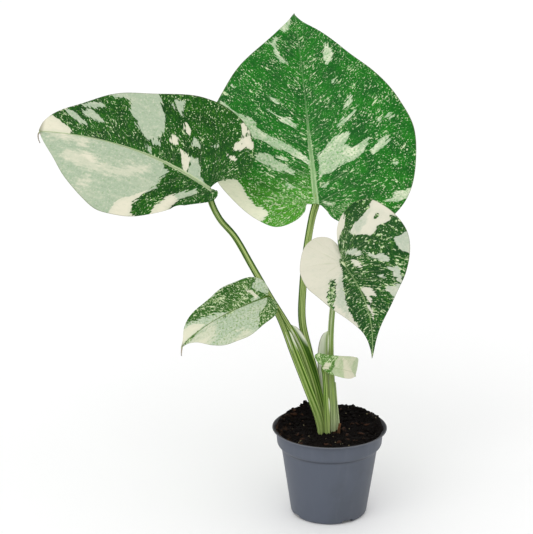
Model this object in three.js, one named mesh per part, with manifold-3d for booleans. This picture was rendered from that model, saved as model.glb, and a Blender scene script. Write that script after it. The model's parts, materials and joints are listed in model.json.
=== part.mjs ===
// A variegated monstera with five heart-shaped leaves on sheathed stalks, in a tapered nursery pot.
// Millimetres, +Z up. The origin is the middle of the pot's flat base.

import * as THREE from 'three';
import { mergeVertices } from 'three/addons/utils/BufferGeometryUtils.js';
import Module from 'manifold-3d';

const wasm = await Module();
wasm.setup();

// Sizes of the pot
const POT_HEIGHT = 95;
const RIM_RADIUS = 60;
const COLLAR_TOP_RADIUS = 56;
const COLLAR_BOTTOM_RADIUS = 54.7;
const COLLAR_BOTTOM = 75;
const BODY_TOP_RADIUS = 50;
const BODY_TOP = 70;
const BASE_RADIUS = 39.6;
const BASE_CORNER = 4.6;
const POT_WALL = 1.3;
const LIP_DROP = 3;
const LIP_ARC = [-30, 150];
const CORNER_STEPS = 4;
const LIP_STEPS = 5;
const POT_SEGMENTS = 56;
const DRAIN_COUNT = 4;
const DRAIN_FIRST_ANGLE = -62;
const DRAIN_WIDTH = 13;
const DRAIN_HEIGHT = 2.3;
const DRAIN_DEPTH = 7;

// Sizes of the soil and the stem in it
const GAP = 0.35;
const SOIL_CLEARANCE = 0.5;
const SOIL_LEVEL = 89;
const SOIL_EDGE_LEVEL = 87;
const SOIL_EDGE_LIMIT = 93.5;
const SOIL_EDGE_DROP = 1;
const SOIL_CORNER_STEPS = 3;
const SOIL_SEGMENTS = 44;
const SOIL_RINGS = [0.93, 0.82, 0.7, 0.57, 0.43, 0.28, 0.14];
const BACK_HEAP = { height: 8, start: 5, end: 46 };
const SOIL_LUMPS = [
  { x: -25, y: 39, height: 10, radius: 7 },
  { x: -33, y: 30, height: 3, radius: 12 },
  { x: 24, y: 44, height: 2, radius: 9 },
  { x: 42, y: 8, height: 3, radius: 14 },
  { x: -40, y: -8, height: 2.5, radius: 12 },
  { x: -20, y: -36, height: 1.5, radius: 9 },
  { x: 22, y: -34, height: 2, radius: 11 },
];
const STEM_CENTRE = [-0.8, 1];
const STEM_RADIUS = 16;
const STEM_BOTTOM = 48;
const STEM_TOP = 83;
const STEM_SEGMENTS = 28;

// Sizes shared by the blades
const BLADE_HALF_THICKNESS = 0.38;
const MIDRIB_WIDTH = 3;
const MIDRIB_START = 9;
const MIDRIB_TIP_SHARE = 0.1;
const VEIN_SLOPE = 0.45;
const VEIN_BOW = 0.2;
const CURL_LENGTH = 100;
const ACROSS = [0, 0.05, 0.25, 0.5, 0.75, 1];
const OUTLINE_SAMPLES = 400;
const BEND_STEPS = 60;
const FURTHEST_STATION = 1.15;

// Sizes shared by the stalks
const WING_TIP_THICKNESS = 0.7;
const WING_ROOT_THICKNESS = 1.5;
const WING_BASE_SHARE = 0.1;
const WING_END_POWER = 8;
const CHANNEL_DEPTH = 0.2;
const BACK_ANGLES = [85, 115, 145, 180, 215, 245, 275];
const KNEE_SWELLING = 0.12;
const KNEE_SHARE = 0.06;
const DRIP_OVERLAP = 1.5;
const DRIP_RADIUS = [0.9, 0.45];
const DRIP_RINGS = 6;
const NO_SHEATH = { widths: [0, 0], spread: 40, top: POT_HEIGHT };

// Each blade, flat, has its stalk at (0, 0) and its midrib along +y; right and left are seen from above
// its face. aim is where the midrib starts to, face is where the upper side looks. pitch, yaw, fold and
// lobe are degrees, curl is degrees in 100 mm, and wave is the rise and fall of the margin.
const BLADES = [
  {
    name: 'top',
    colour: 0x2f7a35,
    base: [-14.6, 42, 324.5],
    aim: [-0.1, 0.5, 0.86],
    face: [0, -0.87, 0.5],
    length: 210,
    pitch: [0, -22],
    yaw: [-3, 3],
    fold: [9, 9],
    curl: [-14, -14],
    lobe: -25,
    midrib: 2.8,
    wave: { height: 2, length: 64 },
    cells: { lobes: 11, along: 15 },
    rightNotch: [[4, -2], [9, -8]],
    rightMargin: [[15, -17], [34, -28], [50, -32], [67, -27], [82, -18], [97, 0], [108, 34],
      [110, 73], [98, 108], [75, 140], [45, 175], [10, 214], [0, 233]],
    leftNotch: [[-3, 0], [-9, 1], [-14, -6]],
    leftMargin: [[-24, -17], [-44, -22], [-63, -12], [-85, 10], [-101, 34], [-108, 69],
      [-101, 105], [-78, 144], [-51, 177], [-20, 206], [-8, 219], [0, 233]],
  },
  {
    name: 'left',
    colour: 0x3f6b3c,
    base: [-121.9, -38, 358.4],
    aim: [-0.81, 0.18, 0.56],
    face: [0.25, -0.75, 0.62],
    length: 195,
    pitch: [-16, -17],
    yaw: [38.6, -18],
    fold: [8, 8],
    curl: [-12, -12],
    lobe: -20,
    midrib: 2.6,
    wave: { height: 1.5, length: 58 },
    cells: { lobes: 8, along: 15 },
    rightNotch: [[4, 0], [11, -2], [18, -7]],
    rightMargin: [[35, -19], [56, -16], [78, 4], [88, 30], [85, 47], [73, 72],
      [58, 109], [41, 140], [24, 168], [10, 181], [0, 184]],
    leftNotch: [[-1, -5]],
    leftMargin: [[-4, -10], [-12, -8], [-34, 11], [-56, 30], [-74, 61], [-79, 90], [-69, 114],
      [-52, 139], [-30, 159], [-10, 177], [0, 184]],
    drip: [[0, 0, 0], [-2, -1, -2.5], [-2, -2, -7], [-0.5, -2, -11.5]],
  },
  {
    name: 'low_left',
    colour: 0x5d8a5a,
    base: [-65.5, -22, 242.9],
    aim: [-0.94, -0.23, -0.26],
    face: [-0.08, -0.59, 0.81],
    length: 110,
    pitch: [-10.9, -28.8],
    yaw: [10.1, 1.3],
    fold: [12, 12],
    curl: [-15, -15],
    lobe: -20,
    midrib: 1.8,
    wave: { height: 1, length: 36 },
    cells: { lobes: 6, along: 12 },
    rightNotch: [],
    rightMargin: [[2, -2], [7, -4], [14, -4], [21, -1], [28, 10], [29, 30], [25, 50], [21, 69], [14, 87],
      [5, 96], [0, 102]],
    leftNotch: [],
    leftMargin: [[-2, -3], [-9, -6], [-18, -5], [-28, 1], [-37, 20], [-41, 40], [-38, 58], [-26, 73],
      [-11, 85], [-3, 95], [0, 102]],
    drip: [[0, 0, 0], [-0.4, -0.5, -3], [-0.8, -1, -6.5], [-0.8, -1, -10]],
  },
  {
    name: 'right',
    colour: 0x4f7f4c,
    base: [9.7, -38, 282.9],
    aim: [0.48, -0.75, -0.46],
    face: [-0.15, -0.59, 0.79],
    length: 125,
    pitch: [24.7, -20.2],
    yaw: [-32.9, -1.1],
    fold: [15, 25],
    curl: [-20, -10],
    lobe: 110,
    midrib: 2.2,
    wave: { height: 1, length: 44 },
    cells: { lobes: 10, along: 13 },
    rightNotch: [[-2, -10]],
    rightMargin: [[-4, -22], [1, -32], [12, -37], [29, -33], [44, -14], [52, 9], [51, 38],
      [40, 64], [22, 88], [8, 104], [2, 121], [0, 131]],
    leftNotch: [[-3, -9]],
    leftMargin: [[-6, -18], [-14, -35], [-26, -46], [-43, -52], [-58, -47], [-69, -27], [-73, -3],
      [-67, 18], [-48, 45], [-29, 67], [-12, 89], [-4, 110], [0, 131]],
  },
  {
    name: 'tiny',
    colour: 0x9db58f,
    base: [-6.9, -14, 165.8],
    aim: [0.99, 0, -0.14],
    face: [0, -0.86, 0.5],
    length: 64,
    pitch: [-6, -170],
    yaw: [0, 0],
    fold: [8, 8],
    curl: [-20, -20],
    lobe: -20,
    midrib: 1.2,
    wave: { height: 0.4, length: 22 },
    cells: { lobes: 5, along: 11 },
    rightNotch: [],
    rightMargin: [[1, -2], [4, -1], [7, 7], [8, 16], [9, 28], [8, 40], [4, 49], [0, 54]],
    leftNotch: [],
    leftMargin: [[-1, -2], [-4, -8], [-9, -10], [-12, -5], [-12, 4], [-13, 16], [-14, 30], [-12, 42],
      [-6, 51], [0, 54]],
  },
];

// Each stalk runs from the stem up to its blade. facing is where its channel looks, and the two wings of
// its sheath stand beside the channel up to the height sheath.top.
const STALKS = [
  {
    name: 'top',
    colour: 0x6f9a3c,
    points: [[-1, 12, 78], [-5.3, 11.6, 95], [-10.8, 9.8, 120], [-21.2, 7, 171], [-29.2, 7, 208],
      [-28.6, 14, 243], [-24.4, 28, 281], [-18.8, 41, 310]],
    seat: { along: -0.3, below: 4.1 },
    radius: [4.3, 3.5],
    facing: [0.7, -0.7, 0.3],
    sheath: { widths: [1.5, 1.5], spread: 30, top: 168 },
    rings: 20,
  },
  {
    name: 'left',
    colour: 0x6f9a3c,
    points: [[-7.5, 2.5, 78], [-9.7, 1.5, 98], [-14.5, 0, 123], [-25, -0.5, 160], [-38.5, 0, 194],
      [-64, 1, 238], [-81, -6, 271], [-98, -18, 305], [-113, -29, 326], [-118.5, -34.5, 344]],
    seat: { along: 0, below: 3.6 },
    radius: [4.1, 2.8],
    facing: [0.8, -0.45, 0.4],
    sheath: { widths: [9, 5], spread: 38, top: 203 },
    rings: 26,
  },
  {
    name: 'low_left',
    colour: 0x7fa24a,
    points: [[-8.5, -5.5, 78], [-9.7, -6.7, 93], [-13, -8.5, 108], [-26, -12.5, 145], [-39, -16, 181],
      [-51, -18, 215], [-59, -19, 232]],
    seat: { along: 0, below: 2.2 },
    radius: [3.4, 2.7],
    facing: [0.6, -0.6, 0.5],
    sheath: { widths: [2, 2], spread: 42, top: 150 },
    rings: 15,
  },
  {
    name: 'right',
    colour: 0x94b06a,
    points: [[3.8, 0, 78], [3.8, 0, 92], [3.2, 2, 122], [1.5, 4, 150], [0.5, 5, 177], [0.5, 3.5, 199],
      [2, -2.5, 227], [5, -14, 250], [8, -27, 270]],
    seat: { along: 0.5, below: 1.2 },
    radius: [3.6, 2.6],
    facing: [-0.9, -0.3, 0.2],
    sheath: { widths: [5, 15], spread: 40, top: 197 },
    rings: 20,
  },
  {
    name: 'tiny',
    colour: 0x86a94f,
    points: [[-2, -7.5, 78], [-3.5, -9, 98], [-4.5, -11, 120], [-5.5, -12, 142], [-6.5, -11, 156]],
    seat: { along: 0, below: 2.5 },
    radius: [2.6, 2],
    facing: [0.9, 0.3, 0],
    sheath: { widths: [2.5, 2.5], spread: 40, top: 132 },
    rings: 10,
  },
];

// What is left of two older leaves beside the right stalk: a green sheath and a dry, brown one
const OLD_SHEATHS = [
  {
    name: 'outer_sheath',
    colour: 0x7f9c4a,
    points: [[10, 2.5, 78], [9.8, 2.5, 92], [8.7, 4, 115], [6.9, 6, 142]],
    radius: [1.8, 0.8],
    facing: [-0.5, -0.9, 0],
    sheath: { widths: [1.2, 1.2], spread: 45, top: 128 },
    rings: 8,
  },
  {
    name: 'dry_sheath',
    colour: 0x8a5a32,
    points: [[9.3, -5, 78], [9.5, -5.3, 88], [10, -5.8, 95], [10.6, -5.6, 100]],
    radius: [2, 1.1],
    facing: [-1, 0.3, 0],
    sheath: { widths: [1.2, 1.2], spread: 60, top: 97 },
    rings: 6,
  },
];

// Looks of the pieces; each leaf and stalk has its own colour above
const POT_LOOK = { color: 0x5d6a7e, roughness: 0.55 };
const SOIL_LOOK = { color: 0x1d1512, roughness: 0.95 };
const STEM_LOOK = { color: 0x6d7a3a, roughness: 0.7 };
const STALK_ROUGHNESS = 0.5;
const SHEATH_ROUGHNESS = 0.6;
const BLADE_ROUGHNESS = 0.45;

// Meshes and solids

function closeSeams(geometry) {
  const bare = new THREE.BufferGeometry();
  bare.setAttribute('position', geometry.getAttribute('position').clone());
  if (geometry.index) {
    bare.setIndex(geometry.index.clone());
  }
  const merged = mergeVertices(bare);
  const corners = Array.from(merged.index.array);
  const kept = [];
  for (let i = 0; i < corners.length; i += 3) {
    const [a, b, c] = corners.slice(i, i + 3);
    if (a !== b && b !== c && c !== a) {
      kept.push(a, b, c);
    }
  }
  merged.setIndex(kept);
  return merged;
}

function toSolid(geometry) {
  const closed = closeSeams(geometry);
  return new wasm.Manifold(new wasm.Mesh({
    numProp: 3,
    vertProperties: new Float32Array(closed.getAttribute('position').array),
    triVerts: new Uint32Array(closed.index.array),
  }));
}

function toGeometry(solid) {
  const mesh = solid.getMesh();
  const geometry = new THREE.BufferGeometry();
  geometry.setAttribute('position', new THREE.BufferAttribute(mesh.vertProperties, 3));
  geometry.setIndex(Array.from(mesh.triVerts));
  return geometry;
}

function largestPiece(solid) {
  return solid.decompose().reduce((best, piece) => (piece.volume() > best.volume() ? piece : best));
}

function makeMesh(name, geometry, look) {
  geometry.computeVertexNormals();
  const material = new THREE.MeshStandardMaterial({ ...look, metalness: 0 });
  const mesh = new THREE.Mesh(geometry, material);
  mesh.name = name;
  return mesh;
}

function revolve(profile, segments) {
  const points = profile.map(([radius, height]) => new THREE.Vector2(radius, height));
  return new THREE.LatheGeometry(points, segments).rotateX(Math.PI / 2);
}

function arcPoints([radius, height], size, fromDegrees, toDegrees, count) {
  const points = [];
  for (let i = 0; i <= count; i += 1) {
    const angle = THREE.MathUtils.degToRad(fromDegrees + (toDegrees - fromDegrees) * i / count);
    points.push([radius + size * Math.cos(angle), height + size * Math.sin(angle)]);
  }
  return points;
}

// The pot: a tapered body, a wider collar and a rounded lip, with drain slots in the base corner

function potInside(height) {
  const bodyTaper = (BODY_TOP_RADIUS - BASE_RADIUS) / (BODY_TOP - BASE_CORNER);
  const collarTaper = (COLLAR_TOP_RADIUS - COLLAR_BOTTOM_RADIUS) / (POT_HEIGHT - LIP_DROP - COLLAR_BOTTOM);
  if (height > COLLAR_BOTTOM) {
    return COLLAR_BOTTOM_RADIUS - POT_WALL + (height - COLLAR_BOTTOM) * collarTaper;
  }
  return BASE_RADIUS - POT_WALL + (height - BASE_CORNER) * bodyTaper;
}

function potSolid() {
  const cornerCentre = [BASE_RADIUS - BASE_CORNER, BASE_CORNER];
  const lipCentre = [RIM_RADIUS - POT_WALL / 2, POT_HEIGHT - POT_WALL / 2];
  const innerCorner = BASE_CORNER - POT_WALL;
  const profile = [
    [0, 0],
    ...arcPoints(cornerCentre, BASE_CORNER, -90, 0, CORNER_STEPS),
    [BODY_TOP_RADIUS, BODY_TOP],
    [COLLAR_BOTTOM_RADIUS, COLLAR_BOTTOM],
    [COLLAR_TOP_RADIUS, POT_HEIGHT - LIP_DROP],
    ...arcPoints(lipCentre, POT_WALL / 2, ...LIP_ARC, LIP_STEPS),
    [potInside(POT_HEIGHT - LIP_DROP), POT_HEIGHT - LIP_DROP],
    [potInside(COLLAR_BOTTOM + GAP), COLLAR_BOTTOM + GAP],
    [BODY_TOP_RADIUS - POT_WALL, BODY_TOP + GAP],
    ...arcPoints(cornerCentre, innerCorner, 0, -90, CORNER_STEPS),
    [0, POT_WALL],
  ];
  let pot = toSolid(revolve(profile, POT_SEGMENTS));
  for (let i = 0; i < DRAIN_COUNT; i += 1) {
    const angle = DRAIN_FIRST_ANGLE + 360 * i / DRAIN_COUNT;
    const slot = new THREE.BoxGeometry(DRAIN_DEPTH * 2, DRAIN_WIDTH, DRAIN_HEIGHT * 2);
    slot.translate(BASE_RADIUS, 0, 0).rotateZ(THREE.MathUtils.degToRad(angle));
    pot = pot.subtract(toSolid(slot));
  }
  return pot;
}

// The soil: fills the pot, heaped towards the back, with a plain hole for the stem

function soilHeight(x, y) {
  const heap = BACK_HEAP.height * THREE.MathUtils.smoothstep(y, BACK_HEAP.start, BACK_HEAP.end);
  const lumps = SOIL_LUMPS.reduce((sum, lump) => {
    const distance = Math.hypot(x - lump.x, y - lump.y);
    return sum + lump.height * Math.exp(-((distance / lump.radius) ** 2));
  }, 0);
  return SOIL_LEVEL + heap + lumps;
}

function soilSolid() {
  const cornerCentre = [BASE_RADIUS - BASE_CORNER, BASE_CORNER];
  const wallRadius = potInside(SOIL_EDGE_LEVEL) - SOIL_CLEARANCE;
  const floor = POT_WALL + SOIL_CLEARANCE;
  const profile = [
    [0, floor],
    ...arcPoints(cornerCentre, BASE_CORNER - floor, -90, 0, SOIL_CORNER_STEPS),
    [BODY_TOP_RADIUS - POT_WALL - SOIL_CLEARANCE, BODY_TOP + 2 * GAP],
    [potInside(COLLAR_BOTTOM + GAP) - SOIL_CLEARANCE, COLLAR_BOTTOM + 2 * GAP],
    [wallRadius, SOIL_EDGE_LEVEL],
    ...SOIL_RINGS.map((share) => [wallRadius * share, SOIL_EDGE_LEVEL]),
    [0, SOIL_EDGE_LEVEL],
  ];
  const geometry = closeSeams(revolve(profile, SOIL_SEGMENTS));
  const position = geometry.getAttribute('position');
  for (let i = 0; i < position.count; i += 1) {
    if (position.getZ(i) > SOIL_EDGE_LEVEL - GAP) {
      const [x, y] = [position.getX(i), position.getY(i)];
      const atEdge = Math.hypot(x, y) > wallRadius - GAP;
      const height = soilHeight(x, y);
      position.setZ(i, atEdge ? Math.min(height - SOIL_EDGE_DROP, SOIL_EDGE_LIMIT) : height);
    }
  }
  return toSolid(geometry).subtract(stemSolid(GAP, POT_HEIGHT));
}

// The stem: a short stump in the soil, with a flat top that the stalks stand on

function stemSolid(grow = 0, extraHeight = 0) {
  const height = STEM_TOP - STEM_BOTTOM + extraHeight + 2 * grow;
  const radius = STEM_RADIUS + grow;
  const geometry = new THREE.CylinderGeometry(radius, radius, height, STEM_SEGMENTS);
  geometry.rotateX(Math.PI / 2);
  geometry.translate(...STEM_CENTRE, STEM_BOTTOM - grow + height / 2);
  return toSolid(geometry);
}

// The blades: a flat heart outline with its veins, bent to its pose

function turnAt(leaf, share) {
  const pitch = leaf.pitch[0] * share + leaf.pitch[1] * share ** 2;
  const yaw = leaf.yaw[0] * share + leaf.yaw[1] * share ** 2;
  const euler = new THREE.Euler(THREE.MathUtils.degToRad(pitch), 0, THREE.MathUtils.degToRad(yaw), 'ZXY');
  const turn = new THREE.Matrix4().makeRotationFromEuler(euler);
  const axes = [new THREE.Vector3(), new THREE.Vector3(), new THREE.Vector3()];
  turn.extractBasis(...axes);
  return { side: axes[0], along: axes[1], up: axes[2] };
}

function midribPath(leaf) {
  const step = FURTHEST_STATION / BEND_STEPS;
  const path = [new THREE.Vector3()];
  for (let i = 0; i < BEND_STEPS; i += 1) {
    const { along } = turnAt(leaf, (i + 0.5) * step);
    path.push(path[i].clone().addScaledVector(along, step * leaf.length));
  }
  return (share) => {
    const place = Math.min(share / step, BEND_STEPS - 1e-6);
    const index = Math.floor(place);
    return path[index].clone().lerp(path[index + 1], place - index);
  };
}

function bendSurface(leaf) {
  const midrib = midribPath(leaf);
  return (x, y, lift) => {
    const share = y / leaf.length;
    const { side, along, up } = turnAt(leaf, Math.max(share, 0));
    let centre = midrib(Math.max(share, 0));
    let normal = up;
    if (share < 0) {
      const angle = THREE.MathUtils.degToRad(leaf.lobe) * share;
      centre = along.clone().multiplyScalar(y * Math.sin(angle) / angle);
      centre.addScaledVector(up, y * (1 - Math.cos(angle)) / angle);
      normal = up.clone().multiplyScalar(Math.cos(angle)).addScaledVector(along, -Math.sin(angle));
    }
    const half = x < 0 ? 0 : 1;
    const fold = THREE.MathUtils.degToRad(leaf.fold[half]);
    const curl = THREE.MathUtils.degToRad(leaf.curl[half]) / CURL_LENGTH;
    const reach = fold + curl * Math.abs(x);
    const out = Math.sign(x) * (Math.sin(reach) - Math.sin(fold)) / curl;
    const rise = (Math.cos(fold) - Math.cos(reach)) / curl;
    return centre.addScaledVector(side, out).addScaledVector(normal, rise + lift);
  };
}

function outlineCurve(points) {
  const corners = points.map(([x, y]) => new THREE.Vector3(x, y, 0));
  return new THREE.CatmullRomCurve3(corners, false, 'centripetal');
}

function veinOrigin(point) {
  return point.y - VEIN_SLOPE * Math.abs(point.x);
}

// Margin points of one half: first the lobe, whose veins all start at the stalk, then the rest, whose
// veins start at equal steps along the midrib. ease falls from 1 at the notch to 0 at the lobe's end.
function marginStations(margin, cells, length) {
  const samples = outlineCurve(margin).getPoints(OUTLINE_SAMPLES);
  const lobeEnd = samples.findLastIndex((point) => veinOrigin(point) < 0);
  const stations = [];
  for (let i = 0; i < cells.lobes; i += 1) {
    const share = i / cells.lobes;
    stations.push({ end: samples[Math.round(lobeEnd * share)], origin: 0, ease: 1 - share });
  }
  for (let i = 0; i < cells.along; i += 1) {
    const origin = length * i / cells.along;
    const sample = samples.findIndex((point, index) => index >= lobeEnd && veinOrigin(point) >= origin);
    stations.push({ end: samples[sample], origin, ease: 0 });
  }
  stations.push({ end: samples[OUTLINE_SAMPLES], origin: length, ease: 0 });
  return stations;
}

// Rows of flat points from the midrib to the margin. The first row follows the edge of the notch.
function flatHalf(notch, margin, cells) {
  const length = margin[margin.length - 1][1];
  const notchEdge = outlineCurve([[0, 0], ...notch, margin[0]]);
  return marginStations(margin, cells, length).map(({ end, origin, ease }) => {
    const reach = Math.hypot(end.x, end.y - origin);
    return ACROSS.map((share) => {
      const edge = notchEdge.getPointAt(share);
      const bow = VEIN_BOW * share * (1 - share) * reach * (1 - ease);
      return {
        x: end.x * share + ease * (edge.x - margin[0][0] * share),
        y: origin + (end.y - origin) * share + ease * (edge.y - margin[0][1] * share) - bow,
        share,
      };
    });
  });
}

// One list of flat points and triangles for both halves, with shared points along the midrib
function flatBlade(leaf) {
  const points = [];
  const triangles = [];
  const seen = new Map();
  const indexOf = (point) => {
    const key = `${point.x.toFixed(3)},${point.y.toFixed(3)}`;
    if (!seen.has(key)) {
      seen.set(key, points.length);
      points.push(point);
    }
    return seen.get(key);
  };
  const addTriangle = (corners, flip) => {
    const [a, b, c] = corners.map(indexOf);
    if (a !== b && b !== c && c !== a) {
      triangles.push(flip ? [a, c, b] : [a, b, c]);
    }
  };
  const halves = [[leaf.rightNotch, leaf.rightMargin, false], [leaf.leftNotch, leaf.leftMargin, true]];
  for (const [notch, margin, flip] of halves) {
    const rows = flatHalf(notch, margin, leaf.cells);
    for (let i = 0; i + 1 < rows.length; i += 1) {
      for (let j = 0; j + 1 < ACROSS.length; j += 1) {
        addTriangle([rows[i][j], rows[i][j + 1], rows[i + 1][j + 1]], flip);
        addTriangle([rows[i][j], rows[i + 1][j + 1], rows[i + 1][j]], flip);
      }
    }
  }
  return { points, triangles };
}

function openEdges(triangles) {
  const edges = new Map();
  for (const [a, b, c] of triangles) {
    for (const [from, to] of [[a, b], [b, c], [c, a]]) {
      if (!edges.delete(`${to},${from}`)) {
        edges.set(`${from},${to}`, [from, to]);
      }
    }
  }
  return [...edges.values()];
}

function bladeGeometry(leaf, grow = 0) {
  const { points, triangles } = flatBlade(leaf);
  const surface = bendSurface(leaf);
  const ripple = ({ y, x, share }) => (
    leaf.wave.height * share ** 2 * Math.sin(2 * Math.PI * y / leaf.wave.length + Math.sign(x))
  );
  const ridge = ({ x, y }) => {
    const taper = Math.max(1 - y / leaf.length, MIDRIB_TIP_SHARE);
    const start = THREE.MathUtils.smoothstep(y, 0, MIDRIB_START);
    return leaf.midrib * taper * start * Math.exp(-((x / MIDRIB_WIDTH) ** 2));
  };
  const half = BLADE_HALF_THICKNESS + grow;
  const upper = points.map((point) => surface(point.x, point.y, ripple(point) + half));
  const lower = points.map((point) => surface(point.x, point.y, ripple(point) - half - ridge(point)));
  const index = [];
  const count = points.length;
  for (const [a, b, c] of triangles) {
    index.push(a, b, c, a + count, c + count, b + count);
  }
  for (const [from, to] of openEdges(triangles)) {
    index.push(from, from + count, to + count, from, to + count, to);
  }
  const geometry = new THREE.BufferGeometry().setFromPoints([...upper, ...lower]);
  geometry.setIndex(index);
  return geometry;
}

function bladePlace(leaf) {
  const along = new THREE.Vector3(...leaf.aim).normalize();
  const up = new THREE.Vector3(...leaf.face);
  up.addScaledVector(along, -up.dot(along)).normalize();
  const side = along.clone().cross(up);
  return new THREE.Matrix4().makeBasis(side, along, up).setPosition(...leaf.base);
}

// The blade a little thicker and wider, to cut the end of its stalk clear of it
function bladeClearance(leaf) {
  const copies = [[GAP, 0], [-GAP, 0], [0, -GAP]].map(([x, y]) => (
    toSolid(bladeGeometry(leaf, GAP).translate(x, y, 0).applyMatrix4(bladePlace(leaf)))
  ));
  return copies.reduce((all, copy) => all.add(copy));
}

// The dried drip tip, hanging from the end of a blade
function dripSolid(leaf) {
  const surface = bendSurface(leaf);
  const tipLength = leaf.rightMargin[leaf.rightMargin.length - 1][1];
  const place = bladePlace(leaf);
  const start = surface(0, tipLength - DRIP_OVERLAP, 0).applyMatrix4(place);
  const points = leaf.drip.map(([x, y, z]) => new THREE.Vector3(x, y, z).add(start).toArray());
  const drip = { points, radius: DRIP_RADIUS, facing: [0, -1, 0], sheath: NO_SHEATH, rings: DRIP_RINGS };
  return toSolid(stalkGeometry(drip).applyMatrix4(place.invert()));
}

// The stalks: tapered, channelled, swollen at the knee below the blade, with a winged sheath low down

function wingGrowth(sheath, height) {
  const share = THREE.MathUtils.clamp((height - STEM_TOP) / (sheath.top - STEM_TOP), 0, 1);
  return (WING_BASE_SHARE + (1 - WING_BASE_SHARE) * share) * Math.sqrt(1 - share ** WING_END_POWER);
}

function stalkSection(radius, sheath, growth) {
  const section = [];
  const addAt = (degrees, out, aside = 0) => {
    const angle = THREE.MathUtils.degToRad(degrees);
    section.push([
      out * Math.cos(angle) - aside * Math.sin(angle),
      out * Math.sin(angle) + aside * Math.cos(angle),
    ]);
  };
  const addWing = (degrees, width) => {
    addAt(degrees, radius, -WING_ROOT_THICKNESS / 2);
    addAt(degrees, radius + width * growth, -WING_TIP_THICKNESS / 2);
    addAt(degrees, radius + width * growth, WING_TIP_THICKNESS / 2);
    addAt(degrees, radius, WING_ROOT_THICKNESS / 2);
  };
  addAt(0, radius * (1 - CHANNEL_DEPTH));
  addWing(sheath.spread, sheath.widths[0]);
  for (const degrees of BACK_ANGLES) {
    addAt(degrees, radius);
  }
  addWing(-sheath.spread, sheath.widths[1]);
  return section;
}

function stalkGeometry(stalk) {
  const curve = new THREE.CatmullRomCurve3(stalk.points.map((point) => new THREE.Vector3(...point)));
  const facing = new THREE.Vector3(...stalk.facing);
  const vertices = [];
  let around = 0;
  for (let i = 0; i <= stalk.rings; i += 1) {
    const share = i / stalk.rings;
    const centre = curve.getPointAt(share);
    const tangent = curve.getTangentAt(share);
    const channel = facing.clone().addScaledVector(tangent, -facing.dot(tangent)).normalize();
    const across = tangent.clone().cross(channel);
    const knee = 1 + KNEE_SWELLING * Math.exp(-(((share - 1) / KNEE_SHARE) ** 2));
    const radius = THREE.MathUtils.lerp(...stalk.radius, share) * knee;
    const section = stalkSection(radius, stalk.sheath, wingGrowth(stalk.sheath, centre.z));
    around = section.length;
    for (const [out, aside] of section) {
      vertices.push(centre.clone().addScaledVector(channel, out).addScaledVector(across, aside));
    }
  }
  const index = [];
  for (let i = 0; i < stalk.rings; i += 1) {
    for (let j = 0; j < around; j += 1) {
      const next = (j + 1) % around;
      const [a, b] = [i * around + j, i * around + next];
      index.push(a, b, b + around, a, b + around, a + around);
    }
  }
  const ends = [[0, 0, true], [stalk.rings, 1, false]];
  for (const [ring, share, flip] of ends) {
    const middle = vertices.push(curve.getPointAt(share)) - 1;
    for (let j = 0; j < around; j += 1) {
      const [a, b] = [ring * around + j, ring * around + (j + 1) % around];
      index.push(middle, ...(flip ? [b, a] : [a, b]));
    }
  }
  const geometry = new THREE.BufferGeometry().setFromPoints(vertices);
  geometry.setIndex(index);
  return geometry;
}

// The assembly

function addBlades(plant) {
  for (const leaf of BLADES) {
    let blade = toSolid(bladeGeometry(leaf));
    if (leaf.drip) {
      blade = blade.add(dripSolid(leaf));
    }
    const look = { color: leaf.colour, roughness: BLADE_ROUGHNESS };
    const mesh = makeMesh(`blade_${leaf.name}`, toGeometry(blade), look);
    mesh.applyMatrix4(bladePlace(leaf));
    plant.add(mesh);
  }
}

function addStalks(plant) {
  const stemClearance = stemSolid(GAP);
  for (const stalk of STALKS) {
    const leaf = BLADES.find((blade) => blade.name === stalk.name);
    const seat = new THREE.Vector3(0, stalk.seat.along, -stalk.seat.below).applyMatrix4(bladePlace(leaf));
    const whole = toSolid(stalkGeometry({ ...stalk, points: [...stalk.points, seat.toArray()] }));
    const cut = largestPiece(whole.subtract(stemClearance).subtract(bladeClearance(leaf)));
    const look = { color: stalk.colour, roughness: STALK_ROUGHNESS };
    plant.add(makeMesh(`petiole_${stalk.name}`, toGeometry(cut), look));
  }
  for (const sheath of OLD_SHEATHS) {
    const cut = toSolid(stalkGeometry(sheath)).subtract(stemClearance);
    const look = { color: sheath.colour, roughness: SHEATH_ROUGHNESS };
    plant.add(makeMesh(sheath.name, toGeometry(cut), look));
  }
}

const plant = new THREE.Group();
plant.name = 'potted_monstera';
plant.add(makeMesh('pot', toGeometry(potSolid()), POT_LOOK));
plant.add(makeMesh('soil', toGeometry(soilSolid()), SOIL_LOOK));
plant.add(makeMesh('stem', toGeometry(stemSolid()), STEM_LOOK));
addStalks(plant);
addBlades(plant);

export default plant;
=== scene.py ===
"""Dresses a packed variegated monstera: five blades, their stalks, the soil and the nursery pot.

The tables of shapes are in millimetres in the part's own frame, and the meshes are made in metres.
"""

import json
import math
import random

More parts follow.
